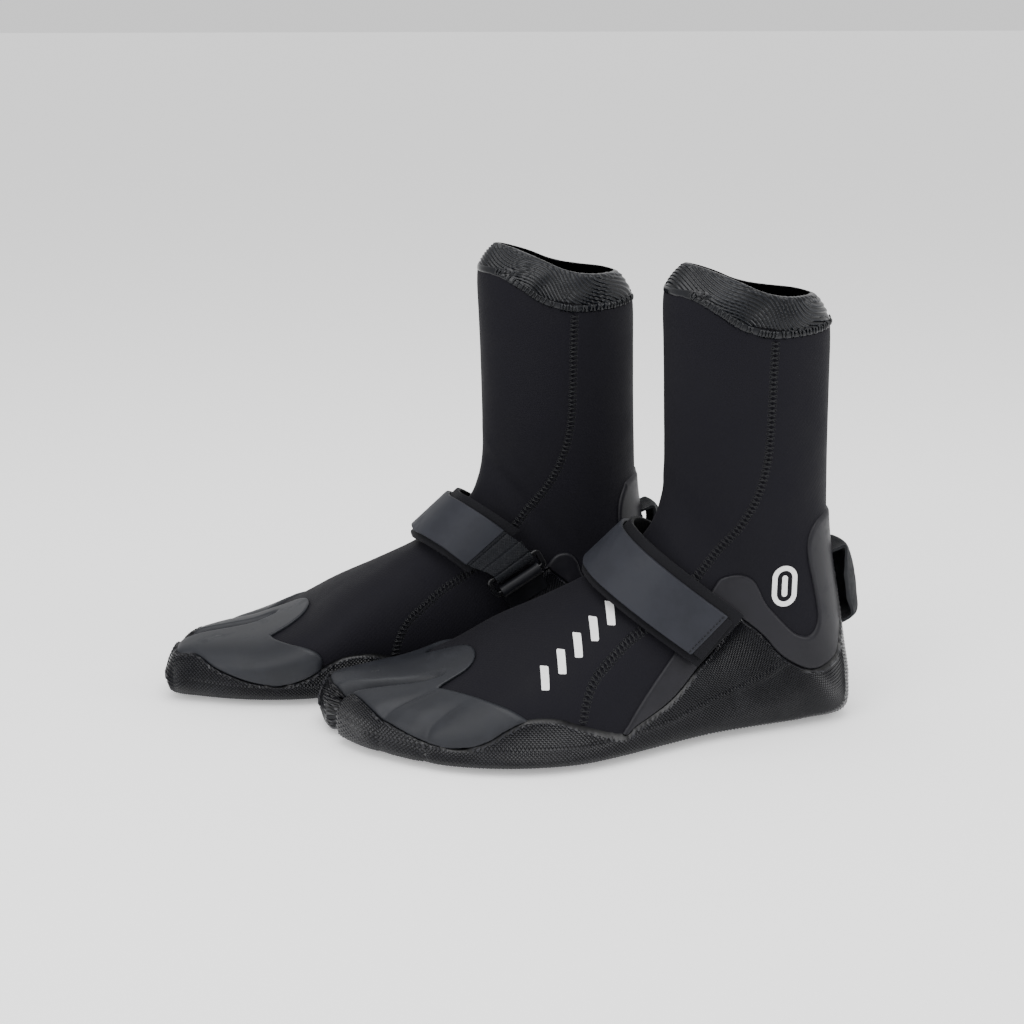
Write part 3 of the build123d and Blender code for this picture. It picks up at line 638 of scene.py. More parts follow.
looks = {
    "neoprene": material("neopreneFace", "knit", (0.0042, 0.004, 0.006), (0.0074, 0.007, 0.010), (0.6, 0.85),
                         0.35, 0.0003, Specular_IOR_Level=0.1, Sheen_Weight=0.015, Sheen_Roughness=0.4),
    # glideSkin: painted shade in the grooves between the wavy ridges (valleyShade)
    "cuff": material("glideSkin", "rubber", (0.003, 0.0038, 0.0062), (0.0062, 0.0076, 0.0118), (0.26, 0.42),
                     0.08, 0.0001, valleyShade=0.2, Specular_IOR_Level=0.24),
    "binding": material("boundEdge", "rubber", (0.0024, 0.0028, 0.0042), (0.0056, 0.0064, 0.0092),
                        (0.22, 0.4), 0.3, 0.0002, Specular_IOR_Level=0.3),
    "lining": material("plushLining", "knit", (0.014, 0.0136, 0.016), (0.033, 0.032, 0.036), (0.85, 0.98),
                       0.6, 0.0005, Specular_IOR_Level=0.1, Sheen_Weight=0.08),
    "insole": material("foamInsole", "rubber", (0.012, 0.012, 0.014), (0.025, 0.025, 0.028), (0.8, 0.95),
                       0.4, 0.0003, Specular_IOR_Level=0.15),
    "tape": material("seamTape", "rubber", (0.010, 0.010, 0.012), (0.024, 0.024, 0.027), (0.4, 0.6),
                     0.2, 0.0001, Specular_IOR_Level=0.25),
    "thread": material("seamThread", "thread", (0.0024, 0.0024, 0.0033), (0.008, 0.0082, 0.0104), (0.36, 0.6),
                       0.5, 0.0002, Specular_IOR_Level=0.22),
    # treadRubber: painted shade between the tread knobs, so the knob tops read lighter (valleyShade)
    "sole": material("treadRubber", "rubber", (0.0105, 0.0106, 0.0142), (0.0215, 0.0218, 0.0275), (0.3, 0.5),
                     0.25, 0.0001, valleyShade=0.12, Specular_IOR_Level=0.3),
    "smooth": material("smoothRubber", "rubber", (0.0092, 0.0101, 0.0132), (0.0165, 0.0178, 0.0222),
                       (0.45, 0.65), 0.2, 0.0001, Specular_IOR_Level=0.25),
    "wrap": material("heelRubber", "rubber", (0.006, 0.0058, 0.0082), (0.0108, 0.0104, 0.0138), (0.45, 0.65),
                     0.2, 0.0001, Specular_IOR_Level=0.22),
    "ply": material("strapPly", "knit", (0.003, 0.003, 0.0042), (0.0058, 0.0058, 0.0078), (0.6, 0.85),
                    0.4, 0.0003, Specular_IOR_Level=0.12, Sheen_Weight=0.02),
    "strap": material("strapFace", "rubber", (0.014, 0.015, 0.020), (0.0215, 0.0228, 0.029), (0.55, 0.75),
                      0.25, 0.0001, Specular_IOR_Level=0.18),
    "hook": material("hookPatch", "thread", (0.005, 0.005, 0.0065), (0.013, 0.013, 0.016), (0.6, 0.8),
                     0.8, 0.0004, Specular_IOR_Level=0.2),
    "ring": material("ringPlastic", "rubber", (0.003, 0.003, 0.0038), (0.0065, 0.0065, 0.0078), (0.25, 0.4),
                     0.08, 0.0001, Specular_IOR_Level=0.35),
    "webbing": material("wovenWebbing", "thread", (0.002, 0.0025, 0.004), (0.0052, 0.0062, 0.009),
                        (0.5, 0.75), 0.5, 0.0002, Specular_IOR_Level=0.2, Sheen_Weight=0.02),
    "keeper": material("keeperTape", "rubber", (0.0046, 0.0048, 0.0066), (0.0085, 0.0088, 0.0114),
                       (0.45, 0.62), 0.25, 0.0001, Specular_IOR_Level=0.2),
    "print": material("whiteInk", "rubber", (0.70, 0.70, 0.70), (0.86, 0.86, 0.86), (0.45, 0.6), 0.1, 0.0001),
}

# panels and linings
upper = {"step": 2.2, "foam": 5.0, "lining": 1.4, "gap": 0.05, "soleTop": 9.0, "seamDip": 0.8,
         "seamSoft": 3.0, "levels": (0.0, 0.9, 2.4), "tape": 0.5, "tapeWidth": 12.0}


def seamDistance(base):
    return nearest(base[..., 0], base[..., 2], outlines["seam"])[0]


def cuffDistance(base):
    return nearest(base[..., 0], base[..., 2], outlines["cuffLow"])[0]


# The foam's outside, dipped along the seams.
def panelOuter(t, w, f, base):
    dip = np.minimum(seamDistance(base), cuffDistance(base) + 0.4)
    grow = -upper["seamDip"] * np.clip(1 - dip / upper["seamSoft"], 0, 1) ** 1.5
    return grow, grow, grow


def panelInside(base, hand):
    x, z = base[..., 0], base[..., 2]
    area = np.minimum(hand * within(x, z, frontArea), within(x, z, belowCuff))
    return np.minimum(area, z - upper["soleTop"])


def frontInside(base, t, w):
    return panelInside(base, 1)


def rearInside(base, t, w):
    return panelInside(base, -1)


stationsAll = evenStations(0, lastRow - 1, upper["step"])
ringAll = wholeRing(upper["step"], 9)
panelInner = even(-upper["foam"])
panelKinds = (("_frontPanel", "front_panel", frontInside), ("_rearPanel", "rear_panel", rearInside))
for side in sides:
    print("panels", side)
    for name, node, inside in panelKinds:
        piece = shell(side + name, side, stationsAll, ringAll, inside, panelOuter, panelInner,
                      upper["levels"])
        finish(piece, side, "boot", [node], looks["neoprene"])
    piece = shell(side + "_solePanel", side, evenStations(0, 17, 3.5), wholeRing(3.5, 9),
                  lambda base, t, w: upper["soleTop"] - 0.1 - base[..., 2], panelOuter, panelInner)
    finish(piece, side, "boot", ["sole_panel"], looks["neoprene"])
    piece = shell(side + "_lining", side, evenStations(2, lastRow - 1, 3.0), wholeRing(3.0, 9),
                  lambda base, t, w: within(base[..., 0], base[..., 2] + 1.2, belowCuff),
                  even(-upper["foam"] - upper["gap"]), even(-upper["foam"] - upper["lining"]))
    finish(piece, side, "boot", ["lining"], looks["lining"])
    tapeGrow = -upper["foam"] - upper["lining"] - upper["gap"]
    piece = shell(side + "_innerSeamTape", side, evenStations(8, lastRow - 1, 2.5), wholeRing(2.5, 9),
                  lambda base, t, w: np.minimum(np.minimum(
                      upper["tapeWidth"] / 2 - seamDistance(base),
                      within(base[..., 0], base[..., 2] + 4.0, belowCuff)), base[..., 2] - 14.0),
                  even(tapeGrow), even(tapeGrow - upper["tape"]))
    finish(piece, side, "boot", ["inner_seam_tape"], looks["tape"])

    # insole: a pad inside the lining, a little dished
    pad = {"low": -upper["foam"] - upper["lining"] - 0.15, "top": 12.4, "dish": 0.7,
           "cols": 15}
    stations = evenStations(3, 14, 4.0)
    rim = []
    for t in stations:
        w = np.linspace(-1, 1, 241)
        ring = place(np.full(w.shape, t), w, pad["low"], pad["low"], pad["low"], False)
        lowPart = ring[ring[:, 2] < pad["top"]]
        lowest, left, right = lowPart[:, 2].min(), lowPart[:, 1].max(), lowPart[:, 1].min()
        rim.append((lowPart[:, 0].mean(), lowest, left, right))
    across = np.linspace(0, 1, pad["cols"])
    top, bottom = [], []
    for x, lowest, left, right in rim:
        y = right + (left - right) * across
        curve = np.abs(2 * across - 1)
        flat = np.full(pad["cols"], x)
        top.append(np.stack([flat, y, pad["top"] - pad["dish"] * (1 - curve ** 4)], -1))
        bottom.append(np.stack([flat, y, lowest + (pad["top"] - 1 - lowest) * curve ** 9], -1))
    points = np.concatenate([np.array(top).reshape(-1, 3), np.array(bottom).reshape(-1, 3)])
    rows, cols = len(rim), pad["cols"]
    half = rows * cols
    faces = []
    for i in range(rows - 1):
        for j in range(cols - 1):
            a = i * cols + j
            faces.append([a, a + 1, a + cols + 1, a + cols])
            faces.append([a + half, a + cols + half, a + cols + 1 + half, a + 1 + half])
    for i in range(rows - 1):
        for a, flip in ((i * cols, 0), (i * cols + cols - 1, 1)):
            wall = [a, a + cols, a + cols + half, a + half]
            faces.append(wall[::-1] if flip else wall)
    for j in range(cols - 1):
        for a, flip in ((j, 1), ((rows - 1) * cols + j, 0)):
            wall = [a, a + 1, a + 1 + half, a + half]
            faces.append(wall[::-1] if flip else wall)
    piece = makeObject(side + "_insole", points, faces, side, None, 40)
    finish(piece, side, "boot", ["insole"], looks["insole"])

# cuff
cuff = {"step": 0.42, "thickness": 3.2, "pitch": 2.05, "ridge": 0.34, "edge": 1.5,
        "gather": 0.55, "gatherReach": 3.5, "pinch": 8.5, "pinchFrom": 74.0, "pinchRun": 26.0,
        "pinchLow": 238.0, "pinchRise": 13.0}


# Concentric wavy ridges pressed into the cuff.
def ripple(base):
    x, y, z = base[..., 0], base[..., 1], base[..., 2]
    phase = 0.64 * x - 0.77 * z + 3.4 * np.sin((x + z) / 9.5 + y / 40.0) + 1.6 * np.sin((z - 0.6 * x) / 11.0)
    return np.cos(2 * np.pi * phase / cuff["pitch"])


def rimDistance(base):
    return nearest(base[..., 0], base[..., 2], outlines["rim"])[0]


# The front of the cuff is drawn together.
def pinch(base):
    forward = np.clip((base[..., 0] - cuff["pinchFrom"]) / cuff["pinchRun"], 0, 1)
    high = np.clip((base[..., 2] - cuff["pinchLow"]) / cuff["pinchRise"], 0, 1)
    return -cuff["pinch"] * forward * forward * (3 - 2 * forward) * high


# Small uneven gathers along the rim.
def puckers(base):
    x, y = base[..., 0], base[..., 1]
    return 0.5 * np.sin(x * 1.9 + y * 0.7) + 0.35 * np.sin(x * 0.83 - y * 1.3 + 1.0) + 0.2 * np.sin(y * 3.1)


def cuffOuter(t, w, f, base):
    away = rimDistance(base)
    edge = rounded(away, cuff["edge"])
    grow = edge - 1.0 + cuff["ridge"] * ripple(base) * np.clip(away / 1.2, 0, 1)
    grow = grow + cuff["gather"] * puckers(base) * np.clip(1 - away / cuff["gatherReach"], 0, 1)
    return grow, grow + pinch(base), grow


def cuffInner(t, w, f, base):
    away = rimDistance(base)
    grow = -cuff["thickness"] + 0.9 * (1 - rounded(away, cuff["edge"]))
    grow = grow + cuff["gather"] * puckers(base) * np.clip(1 - away / cuff["gatherReach"], 0, 1)
    return grow, grow + pinch(base), grow


def cuffInside(base, t, w):
    x, z = base[..., 0], base[..., 2]
    return np.minimum(-within(x, z, belowCuff), within(x, z, belowRim))


binding = {"width": 3.6, "thickness": 0.45, "pitch": 1.55, "length": 4.3, "thread": 0.5, "middle": 68.0}


def bindingOuter(t, w, f, base):
    grow = 0.05 + binding["thickness"] * rounded(np.clip(f, 0, None), 1.5)
    return grow, grow, grow


for side in sides:
    print("cuff", side)
    piece = shell(side + "_cuffBand", side, evenStations(24, lastRow, cuff["step"]),
                  wholeRing(cuff["step"], 26), cuffInside, cuffOuter, cuffInner, (0.0, 0.35, 1.1), snap=0.02,
                  relief=lambda t, w, f, base: 0.5 + 0.5 * ripple(base))
    finish(piece, side, "boot", ["cuff_band"], looks["cuff"])

    piece = shell(side + "_cuffSeamBand", side, evenStations(22.5, lastRow, 0.9), wholeRing(0.9, 26),
                  lambda base, t, w: binding["width"] / 2 - cuffDistance(base),
                  bindingOuter, even(-0.5), (0.0, 0.4, 1.2), snap=0.02)
    piece.data.materials.append(looks["binding"])
    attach(piece, side + "_boot")

# stitches
stitch = {"pitch": 2.5, "length": 4.8, "thread": 0.45, "lean": 0.65, "edge": 2.3}


# A short round thread through the points, with closed ends.
def threadRun(points, radius, turns=6):
    p = np.array(points, float)
    along = np.gradient(p, axis=0)
    along /= np.linalg.norm(along, axis=1, keepdims=True)
    up = np.cross(along, [0.13, 0.9, 0.41])
    up /= np.linalg.norm(up, axis=1, keepdims=True)
    over = np.cross(along, up)
    ring = np.arange(turns) * 2 * np.pi / turns
    size = np.full(len(p), radius)
    size[0] = size[-1] = radius * 0.45
    turn = np.cos(ring)[None, :, None] * up[:, None] + np.sin(ring)[None, :, None] * over[:, None]
    verts = (p[:, None] + size[:, None, None] * turn).reshape(-1, 3)
    faces = []
    for i in range(len(p) - 1):
        for k in range(turns):
            a, b = i * turns + k, i * turns + (k + 1) % turns
            faces.append([a, b, b + turns, a + turns])
    faces.append(list(range(turns))[::-1])
    faces.append([(len(p) - 1) * turns + k for k in range(turns)])
    return verts, faces


class Threads:  # many short threads gathered into one mesh
    def __init__(self):
        self.points, self.faces, self.count = [], [], 0

    def add(self, path, radius):
        points, faces = threadRun(path, radius)
        self.points.append(points)
        self.faces.extend([[k + self.count for k in face] for face in faces])
        self.count += len(points)

    def mesh(self):
        return np.concatenate(self.points), self.faces


surfaceGrid = {}
for outside in (True, False):
    tt, ww = np.broadcast_arrays(evenStations(0, lastRow, 1.0)[:, None],
                                 (np.linspace(0.02, 0.999, 400) * (1 if outside else -1))[None])
    surfaceGrid[outside] = (tt.ravel(), ww.ravel(), place(tt.ravel(), ww.ravel(), 0.0, 0.0, 0.0, False))


# Point of the boot's outside seen at (x, z) from the side, lifted off it.
def onSurface(x, z, outside, lift):
    t, w, spots = surfaceGrid[outside]
    k = np.argmin((spots[:, 0] - x) ** 2 + (spots[:, 2] - z) ** 2)
    point = place(t[k:k + 1], w[k:k + 1], lift, lift, lift, False)[0]
    return np.array([x, point[1], z])


# Leaning rungs and two edge threads over a side-view line.
def ladder(line, outside, wide, pitch, lift, radius, keep):
    run = runOf(line)
    threads = Threads()
    for s in np.arange(1.5, run[-1] - 1.5, pitch):
        x, z = np.interp(s, run, line[:, 0]), np.interp(s, run, line[:, 1])
        x2, z2 = np.interp(s + 0.5, run, line[:, 0]), np.interp(s + 0.5, run, line[:, 1])
        if not keep(x, z):
            continue
        size = math.hypot(x2 - x, z2 - z)
        ax, az = (x2 - x) / size, (z2 - z) / size
        nx, nz = -az, ax
        for lean, sink in ((stitch["lean"], 0.0), (-1.6 * stitch["lean"], -0.2)):
            jitter = dice.uniform(-0.12, 0.12)
            pts = []
            for u in (-1, -0.5, 0, 0.5, 1):
                px = x + nx * u * wide / 2 + ax * (u * lean + jitter)
                pz = z + nz * u * wide / 2 + az * (u * lean + jitter)
                pts.append(onSurface(px, pz, outside, lift + sink - 0.25 * abs(u) ** 3))
            threads.add(pts, radius)
        for hand in (-1, 1):
            off = hand * stitch["edge"]
            pts = []
            for u in (-0.85, 0, 0.85):
                px, pz = x + nx * off + ax * u, z + nz * off + az * u
                pts.append(onSurface(px, pz, outside, lift - 0.12 - 0.15 * abs(u)))
            threads.add(pts, radius * 0.75)
    return threads.mesh()


def sideKeep(x, z):
    spot = (np.array([x]), np.array([z]))
    return within(*spot, soleArea)[0] < 0.4 and within(*spot, belowCuff)[0] > 2.2


seamThreads = {}
for outside in (True, False):
    print("stitches", outside)
    seamThreads[outside] = ladder(outlines["seam"], outside, stitch["length"], stitch["pitch"], -0.05,
                                  stitch["thread"], sideKeep)
for side in sides:
    for outside, node in ((True, "outer_seam"), (False, "inner_seam")):
        piece = makeObject(side + ("_outerSeam" if outside else "_innerSeam"), *seamThreads[outside], side)
        finish(piece, side, "boot", [node], looks["thread"])

print("cuff overlock")
overlock = Threads()
for outside in (True, False):
    line = outlines["cuffLow"]
    line = line[(line[:, 0] > 18) & (line[:, 0] < 118)]
    spots = []
    t, w, grid = surfaceGrid[outside]
    near = np.abs(nearest(grid[:, 0], grid[:, 2], line)[0]) < 0.9
    t, w, grid = t[near], w[near], grid[near]
    order = np.argsort(np.arctan2(grid[:, 1], grid[:, 0] - binding["middle"]))
    away, _ = nearest(grid[order, 0], grid[order, 2], line)
    last = None
    for k, off in zip(order, away):
        point = grid[k]
        if off > 0.25:
            continue
        if last is not None and np.linalg.norm(point - last) < binding["pitch"]:
            continue
        if last is not None:
            spots.append((k, point - last))
        last = point
    for k, way in spots:
        size = np.linalg.norm(way)
        way = way / size
        out = place(t[k:k + 1], w[k:k + 1], 1.0, 1.0, 1.0, False)[0] - grid[k]
        out /= np.linalg.norm(out)
        side3 = np.cross(way, out)
        for hand, sink in ((1, 0.55), (-1, 0.4)):
            reach = binding["length"] / 2 * dice.uniform(0.85, 1.1)
            pts = [grid[k] + side3 * u * reach + way * (hand * u * 0.55 + dice.uniform(-0.12, 0.12))
                   + out * (sink + 0.45 - 0.6 * abs(u) ** 2) for u in (-1, -0.55, 0, 0.55, 1)]
            overlock.add(pts, binding["thread"] * dice.uniform(0.85, 1.15))
for side in sides:
    piece = makeObject(side + "_cuffBinding", *overlock.mesh(), side)
    finish(piece, side, "boot", ["cuff_binding"], looks["binding"])

# rubber
cap = {"step": 1.1, "edge": 1.5, "sunk": -0.35}


def capInside(base, t, w):
    x, y, z = base[..., 0], base[..., 1], base[..., 2]
    upperSide = np.where(z > 12, 1.0, -1.0) * 30
    return np.minimum(np.minimum(within(x, y, outlines["cap"]), -within(x, z, soleArea) + 0.25), upperSide)


def capOuter(t, w, f, base):
    full = alongTable(rubberRows, t)
    share = 0.12 + 0.88 * rounded(np.clip(f, 0, None), cap["edge"])
    return tuple(full[..., k] * share for k in range(3))


def wrapInside(base, t, w):
    x, z = base[..., 0], base[..., 2]
    area = np.where(w >= 0, within(x, z, wrapAreas[0]), within(x, z, wrapAreas[1]))
    return np.minimum(area, -within(x, z, soleArea) + 0.25)


def wrapOuter(t, w, f, base):
    grow = 0.15 + 1.65 * rounded(np.clip(f, 0, None), cap["edge"])
    return grow, grow, grow


tread = {"step": 1.0, "edge": 0.7, "bump": 0.75, "floor": 3.4, "lastStation": 20.5}


# Wide steps under the foot and fine ones up the walls.
def soleShares(stations):
    out = []
    for t in stations:
        row = alongTable(bootRows, np.array([t]))[0]
        parts = []
        for hand, half in ((-1, row[7]), (1, row[6])):
            size = float(girth(np.array([t]), np.array([float(hand)]))[0])
            corner = max(half - 5.0, half * 0.5)
            under = np.linspace(0, corner, 12)
            wall = corner + tread["step"] * np.arange(1, 101)
            share = np.minimum(np.concatenate([under, wall]) / size, 1.0)
            parts.append(hand * share)
        out.append(np.concatenate([parts[0][:0:-1], parts[1]]))
    return np.array(out)


def soleInside(base, t, w):
    return within(base[..., 0], base[..., 2], soleArea)


# 1 on a raised knob of the wall, 0 between the knobs; nothing on the border and underneath.
def knobs(t, w, f, base):
    wall = np.clip((base[..., 2] - tread["floor"]) / 1.5, 0, 1) * np.clip((f - 0.2) / 0.5, 0, 1)
    run = np.interp(t * 8, np.arange(len(backRun)), backRun)
    stepT = np.round((run - backRun[0]) / tread["realStep"])
    row = alongTable(bootRows, t)
    half = np.where(w >= 0, row[..., 6], row[..., 7])
    corner = np.maximum(half - 5.0, half * 0.5)
    stepW = np.round((np.abs(w) * girth(t, w) - corner) / tread["step"])
    return np.where((stepT + stepW) % 2 == 0, 1.0, 0.0) * wall


def soleOuter(t, w, f, base):
    full = alongTable(rubberRows, t)
    share = 0.2 + 0.8 * rounded(np.clip(f, 0, None), tread["edge"])
    z = base[..., 2]
    under = np.clip((tread["floor"] - z) / 0.8, 0, 1)
    bars = np.where(np.sin(base[..., 0] * 2 * np.pi / 9.0) > 0.55, -0.9, 0.0) * under
    extra = tread["bump"] * (knobs(t, w, f, base) - 0.3) + bars
    return tuple(full[..., k] * share + extra for k in range(3))


for side in sides:
    print("rubber", side)
    piece = shell(side + "_toeCap", side, evenStations(0, 9.2, cap["step"]), wholeRing(cap["step"], 7),
                  capInside, capOuter, even(cap["sunk"]), (0.0, 0.12, 0.5, 1.5))
    finish(piece, side, "boot", ["toe_cap"], looks["smooth"])
    piece = shell(side + "_heelWrap", side, evenStations(9, 22, 1.3), wholeRing(1.3, 15),
                  wrapInside, wrapOuter, even(cap["sunk"]), (0.0, 0.12, 0.5, 1.5))
    finish(piece, side, "boot", ["heel_wrap"], looks["wrap"])
    stations = evenStations(0, tread["lastStation"], tread["step"])
    length = float(np.interp(tread["lastStation"] * 8, np.arange(len(backRun)), backRun))
    tread["realStep"] = length / (len(stations) - 1)
    piece = shell(side + "_outsole", side, stations, soleShares(stations), soleInside, soleOuter,
                  even(cap["sunk"]), (0.0, 0.12, 0.5, 1.0), angle=15, snap=0.05, relief=knobs)
    finish(piece, side, "boot", ["outsole"], looks["sole"])

# strap
strap = {
    "stitches": 12, "along": (0.798, 0.602), "across": (0.602, -0.798),
    "rear": (-6, 60, 167.6, 4, -8, 37.2, 33.2, 0.50, 2.4, 2.4),
    "front": (23.5, 60, 172.6, 4, -8, 44.6, 36.3, 0.50, 2.4, 2.4),
    "edgeRear": [(70, -4), (44, -4), (10, -5.5), (-10, -6.5), (-24, -9.5), (-36, -12),
                 (-70, -12)],
    "edgeFront": [(70, 23), (44, 23), (10, 23.4), (-10, 22.6), (-24, 19), (-36, 16.5),
                  (-70, 16.5)],
}


# Dense section of the strap's path at the step c along its width: columns y and rise.
def strapRing(c, grow):
    share = (c - strap["rear"][0]) / (strap["front"][0] - strap["rear"][0])
    row = [a + (b - a) * share for a, b in zip(strap["rear"], strap["front"])]
    _, low, top, yb, yt, wideOut, wideIn, widest, squareB, squareT = row
    low, top = low - grow, top + grow
    length = top - low
    half = np.linspace(0, 1, 1500)
    angle = np.concatenate([angleOf(half), 2 * np.pi - angleOf(half[::-1])[1:]])
    cs, sn = np.abs(np.cos(angle)), np.abs(np.sin(angle))
    lowHalf = np.cos(angle) >= 0
    along = np.where(lowHalf, widest * length * (1 - cs ** (2 / squareB)),
                     length * (widest + (1 - widest) * cs ** (2 / squareT)))
    reach = np.where(lowHalf, sn ** (2 / squareB), sn ** (2 / squareT))
    width = np.where(np.sin(angle) >= 0, wideOut + grow, -(wideIn + grow))
    return np.stack([width * reach + yb + (yt - yb) * along / length, low + along], -1)


# Grid of points on one face of a strap layer. Cuts are (rise at rear edge, rise at front edge).
def strapGrid(grow, shares, outerCut, innerCut, count, widen=(0.0, 0.0)):
    lines = []
    rear = np.array(strap["edgeRear"])[::-1]
    front = np.array(strap["edgeFront"])[::-1]
    for share in shares:
        cMid = -6.0 + 29.0 * share
        ring = strapRing(cMid, grow)
        ringLow, ringHigh = strapRing(-12.0, grow), strapRing(26.0, grow)
        c = np.full(len(ring), cMid)
        for _ in range(3):
            lowC = np.interp(ring[:, 0], rear[:, 0], rear[:, 1]) - widen[0]
            highC = np.interp(ring[:, 0], front[:, 0], front[:, 1]) + widen[1]
            c = lowC + (highC - lowC) * share
            u = ((c + 12.0) / 38.0)[:, None]
            ring = ringLow * (1 - u) + ringHigh * u
        cutOut = outerCut[0] + (outerCut[1] - outerCut[0]) / 28.0 * (c + 6.0)
        cutIn = innerCut[0] + (innerCut[1] - innerCut[0]) / 28.0 * (c + 6.0)
        top = int(np.argmax(ring[:, 1]))
        k = np.arange(len(ring))
        keep = ((k <= top) & (ring[:, 1] > cutOut)) | ((k > top) & (ring[:, 1] > cutIn))
        first, last = k[keep][0], k[keep][-1]
        over = ring[:, 1] - np.where(k <= top, cutOut, cutIn)
        ring, c = np.column_stack([ring, c]), None
        ends = []
        for a, b in ((first, first - 1), (last, last + 1)):
            if 0 <= b < len(ring) and over[a] * over[b] <= 0:
                u = over[a] / (over[a] - over[b])
                ends.append(ring[a] + (ring[b] - ring[a]) * u)
            else:
                ends.append(ring[a])
        ring = np.concatenate([ends[:1], ring[first:last + 1], ends[1:]])
        ring, c = ring[:, :2], ring[:, 2]
        run = runOf(ring)
        even = np.linspace(0, run[-1], count)
        y, rise, cc = (np.interp(even, run, v) for v in (ring[:, 0], ring[:, 1], c))
        ex, ez = strap["along"]
        wx, wz = strap["across"]
        lines.append(np.stack([ex * rise + wx * cc, y, ez * rise + wz * cc], -1))
    return np.array(lines)


# Rounds the sharp edges of a finished slab.
def soften(obj, width, segments=3):
    mod = obj.modifiers.new("soften", "BEVEL")
    mod.width = width * 0.001
    mod.segments = segments
    mod.limit_method = "ANGLE"
    mod.angle_limit = math.radians(50)
    bpy.ops.object.select_all(action="DESELECT")
    obj.select_set(True)
    bpy.context.view_layer.objects.active = obj
    bpy.ops.object.modifier_apply(modifier=mod.name)


# each layer: outer and inner offset, cuts at its two ends (rise at the rear and the front edge),
# samples, widening at the two edges
strapLayers = {
    "inner": (2.1, 0, (104, 110), (136, 144), 110, (5, 3.6)),
    "outer": (4.9, 2.55, (111.5, 118.5), (142.5, 149), 130, (0, 0)),
    "tab": (4.3, 2.55, (107.5, 112), (200, 200), 220, (-1, -1)),
    "hook": (2.5, 1.9, (115, 122), (200, 200), 220, (-2, -2)),
}
strapParts = {"columns": 25, "tab": 16, "hookEnd": 14.0, "stitch": 0.36, "bow": 0.12, "foldFrom": -1.0,
              "foldTo": 21.0}
across = np.linspace(0, 1, strapParts["columns"])


def strapFaces(key):
    outerGrow, innerGrow, *rest = strapLayers[key]
    return strapGrid(outerGrow, across, *rest), strapGrid(innerGrow, across, *rest)


for side in sides:
    print("strap", side)
    piece = slab(side + "_strapInner", side, *strapFaces("inner"))  # sewn to the boot
    soften(piece, 0.5)
    finish(piece, side, "boot", ["strap_inner"], looks["ply"])

    # grey outer strap, one piece from the webbing over the instep to its free end
    piece = slab(side + "_outerStrap", side, *strapFaces("outer"))
    soften(piece, 0.7)
    finish(piece, side, None, ["strap_panel", "strap_tip"], looks["strap"])
    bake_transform(piece)

    # a row of stitches just above the free end
    stitches = Threads()
    spots = np.linspace(0.04, 0.96, 2 * strap["stitches"])
    line = strapGrid(5.0, spots, (113.6, 120.6), (200.0, 200.0), 300)[:, 0]
    for a, b in zip(line[0::2], line[1::2]):
        middle = (a + b) / 2 + np.array([0.0, strapParts["bow"], 0.0])
        stitches.add([a + (b - a) * 0.02, middle, b + (b - a) * 0.25], strapParts["stitch"])
    piece = makeObject(side + "_strapStitches", *stitches.mesh(), side)
    piece.data.materials.append(looks["thread"])
    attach(piece, side + "_strap_end")

    # tab at the free end, and the hook patch under it
    outerFace, innerFace = strapFaces("tab")
    ends = strapParts["tab"]
    piece = slab(side + "_strapTab", side, outerFace[:, :ends], innerFace[:, :ends])
    soften(piece, 0.5)
    finish(piece, side, "strap_end", ["strap_tab"], looks["ply"])
    outerFace, innerFace = strapFaces("hook")
    ends = int(np.sum(outerFace[len(across) // 2, :, 1] > strapParts["hookEnd"]))
    piece = slab(side + "_hookPatch", side, outerFace[:, :ends], innerFace[:, :ends])
    finish(piece, side, "strap_end", ["hook_patch"], looks["hook"])

# ring, webbing and keeper
ringSizes = {"centre": (98.8, -41.6, 69.6), "bar": (0.8625, -0.165, -0.4776), "up": (0.4842, 0.0, 0.8745),
             "wire": 3.2, "depth": 12.4, "ply": 1.5, "gap": 0.35, "width": 26.0}
barAxis = np.array(ringSizes["bar"]) / np.linalg.norm(ringSizes["bar"])
upAxis = np.array(ringSizes["up"]) / np.linalg.norm(ringSizes["up"])
outAxis = np.cross(barAxis, upAxis)
barOffset = (ringSizes["depth"] - ringSizes["wire"]) / 2
wrapRadius = ringSizes["wire"] / 2 * 1.2 + ringSizes["gap"] + ringSizes["ply"] / 2


keeper = {"rows": 60, "cols": 27, "far": 15.0, "skin": 5.4, "wrap": math.radians(300)}


# Unit normals of a flat path.
def normalsOf(path):
    along = np.gradient(path, axis=0)
    along /= np.linalg.norm(along, axis=1, keepdims=True)
    return np.stack([along[:, 1], -along[:, 0]], -1)


# Two faces of the tape that comes up from the skin and folds round the lower bar.
def keeperFaces():
    half = ringSizes["ply"] / 2
    run = [(-barOffset - keeper["far"] * u, (-keeper["skin"] - half) * u - wrapRadius * (1 - u))
           for u in np.linspace(1, 0.25, 26)]
    turn = [(-barOffset + wrapRadius * math.sin(a), -wrapRadius * math.cos(a))
            for a in np.linspace(0, keeper["wrap"], 44)]
    path = np.array(run + turn)
    normal = normalsOf(path)
    length = runOf(path)
    fine = np.linspace(0, length[-1], keeper["rows"])
    p = np.stack([np.interp(fine, length, path[:, k]) for k in range(2)], -1)
    normal = np.stack([np.interp(fine, length, normal[:, k]) for k in range(2)], -1)
    cols = np.linspace(-0.5, 0.5, keeper["cols"])[None, :, None] * ringSizes["width"] * barAxis
    faces = []
    for hand in (1, -1):
        q = p[:, None] + normal[:, None] * hand * half
        faces.append(np.array(ringSizes["centre"]) + q[..., :1] * upAxis + q[..., 1:] * outAxis + cols)
    return faces


webbing = {"cols": 81, "rows": 120, "pitch": 1.35, "height": 0.26, "sewn": 0.45, "tuck": 3.0,
           "back": 9.0, "backLift": 0.6, "firstRow": 2.2, "rowPitch": 8.0}


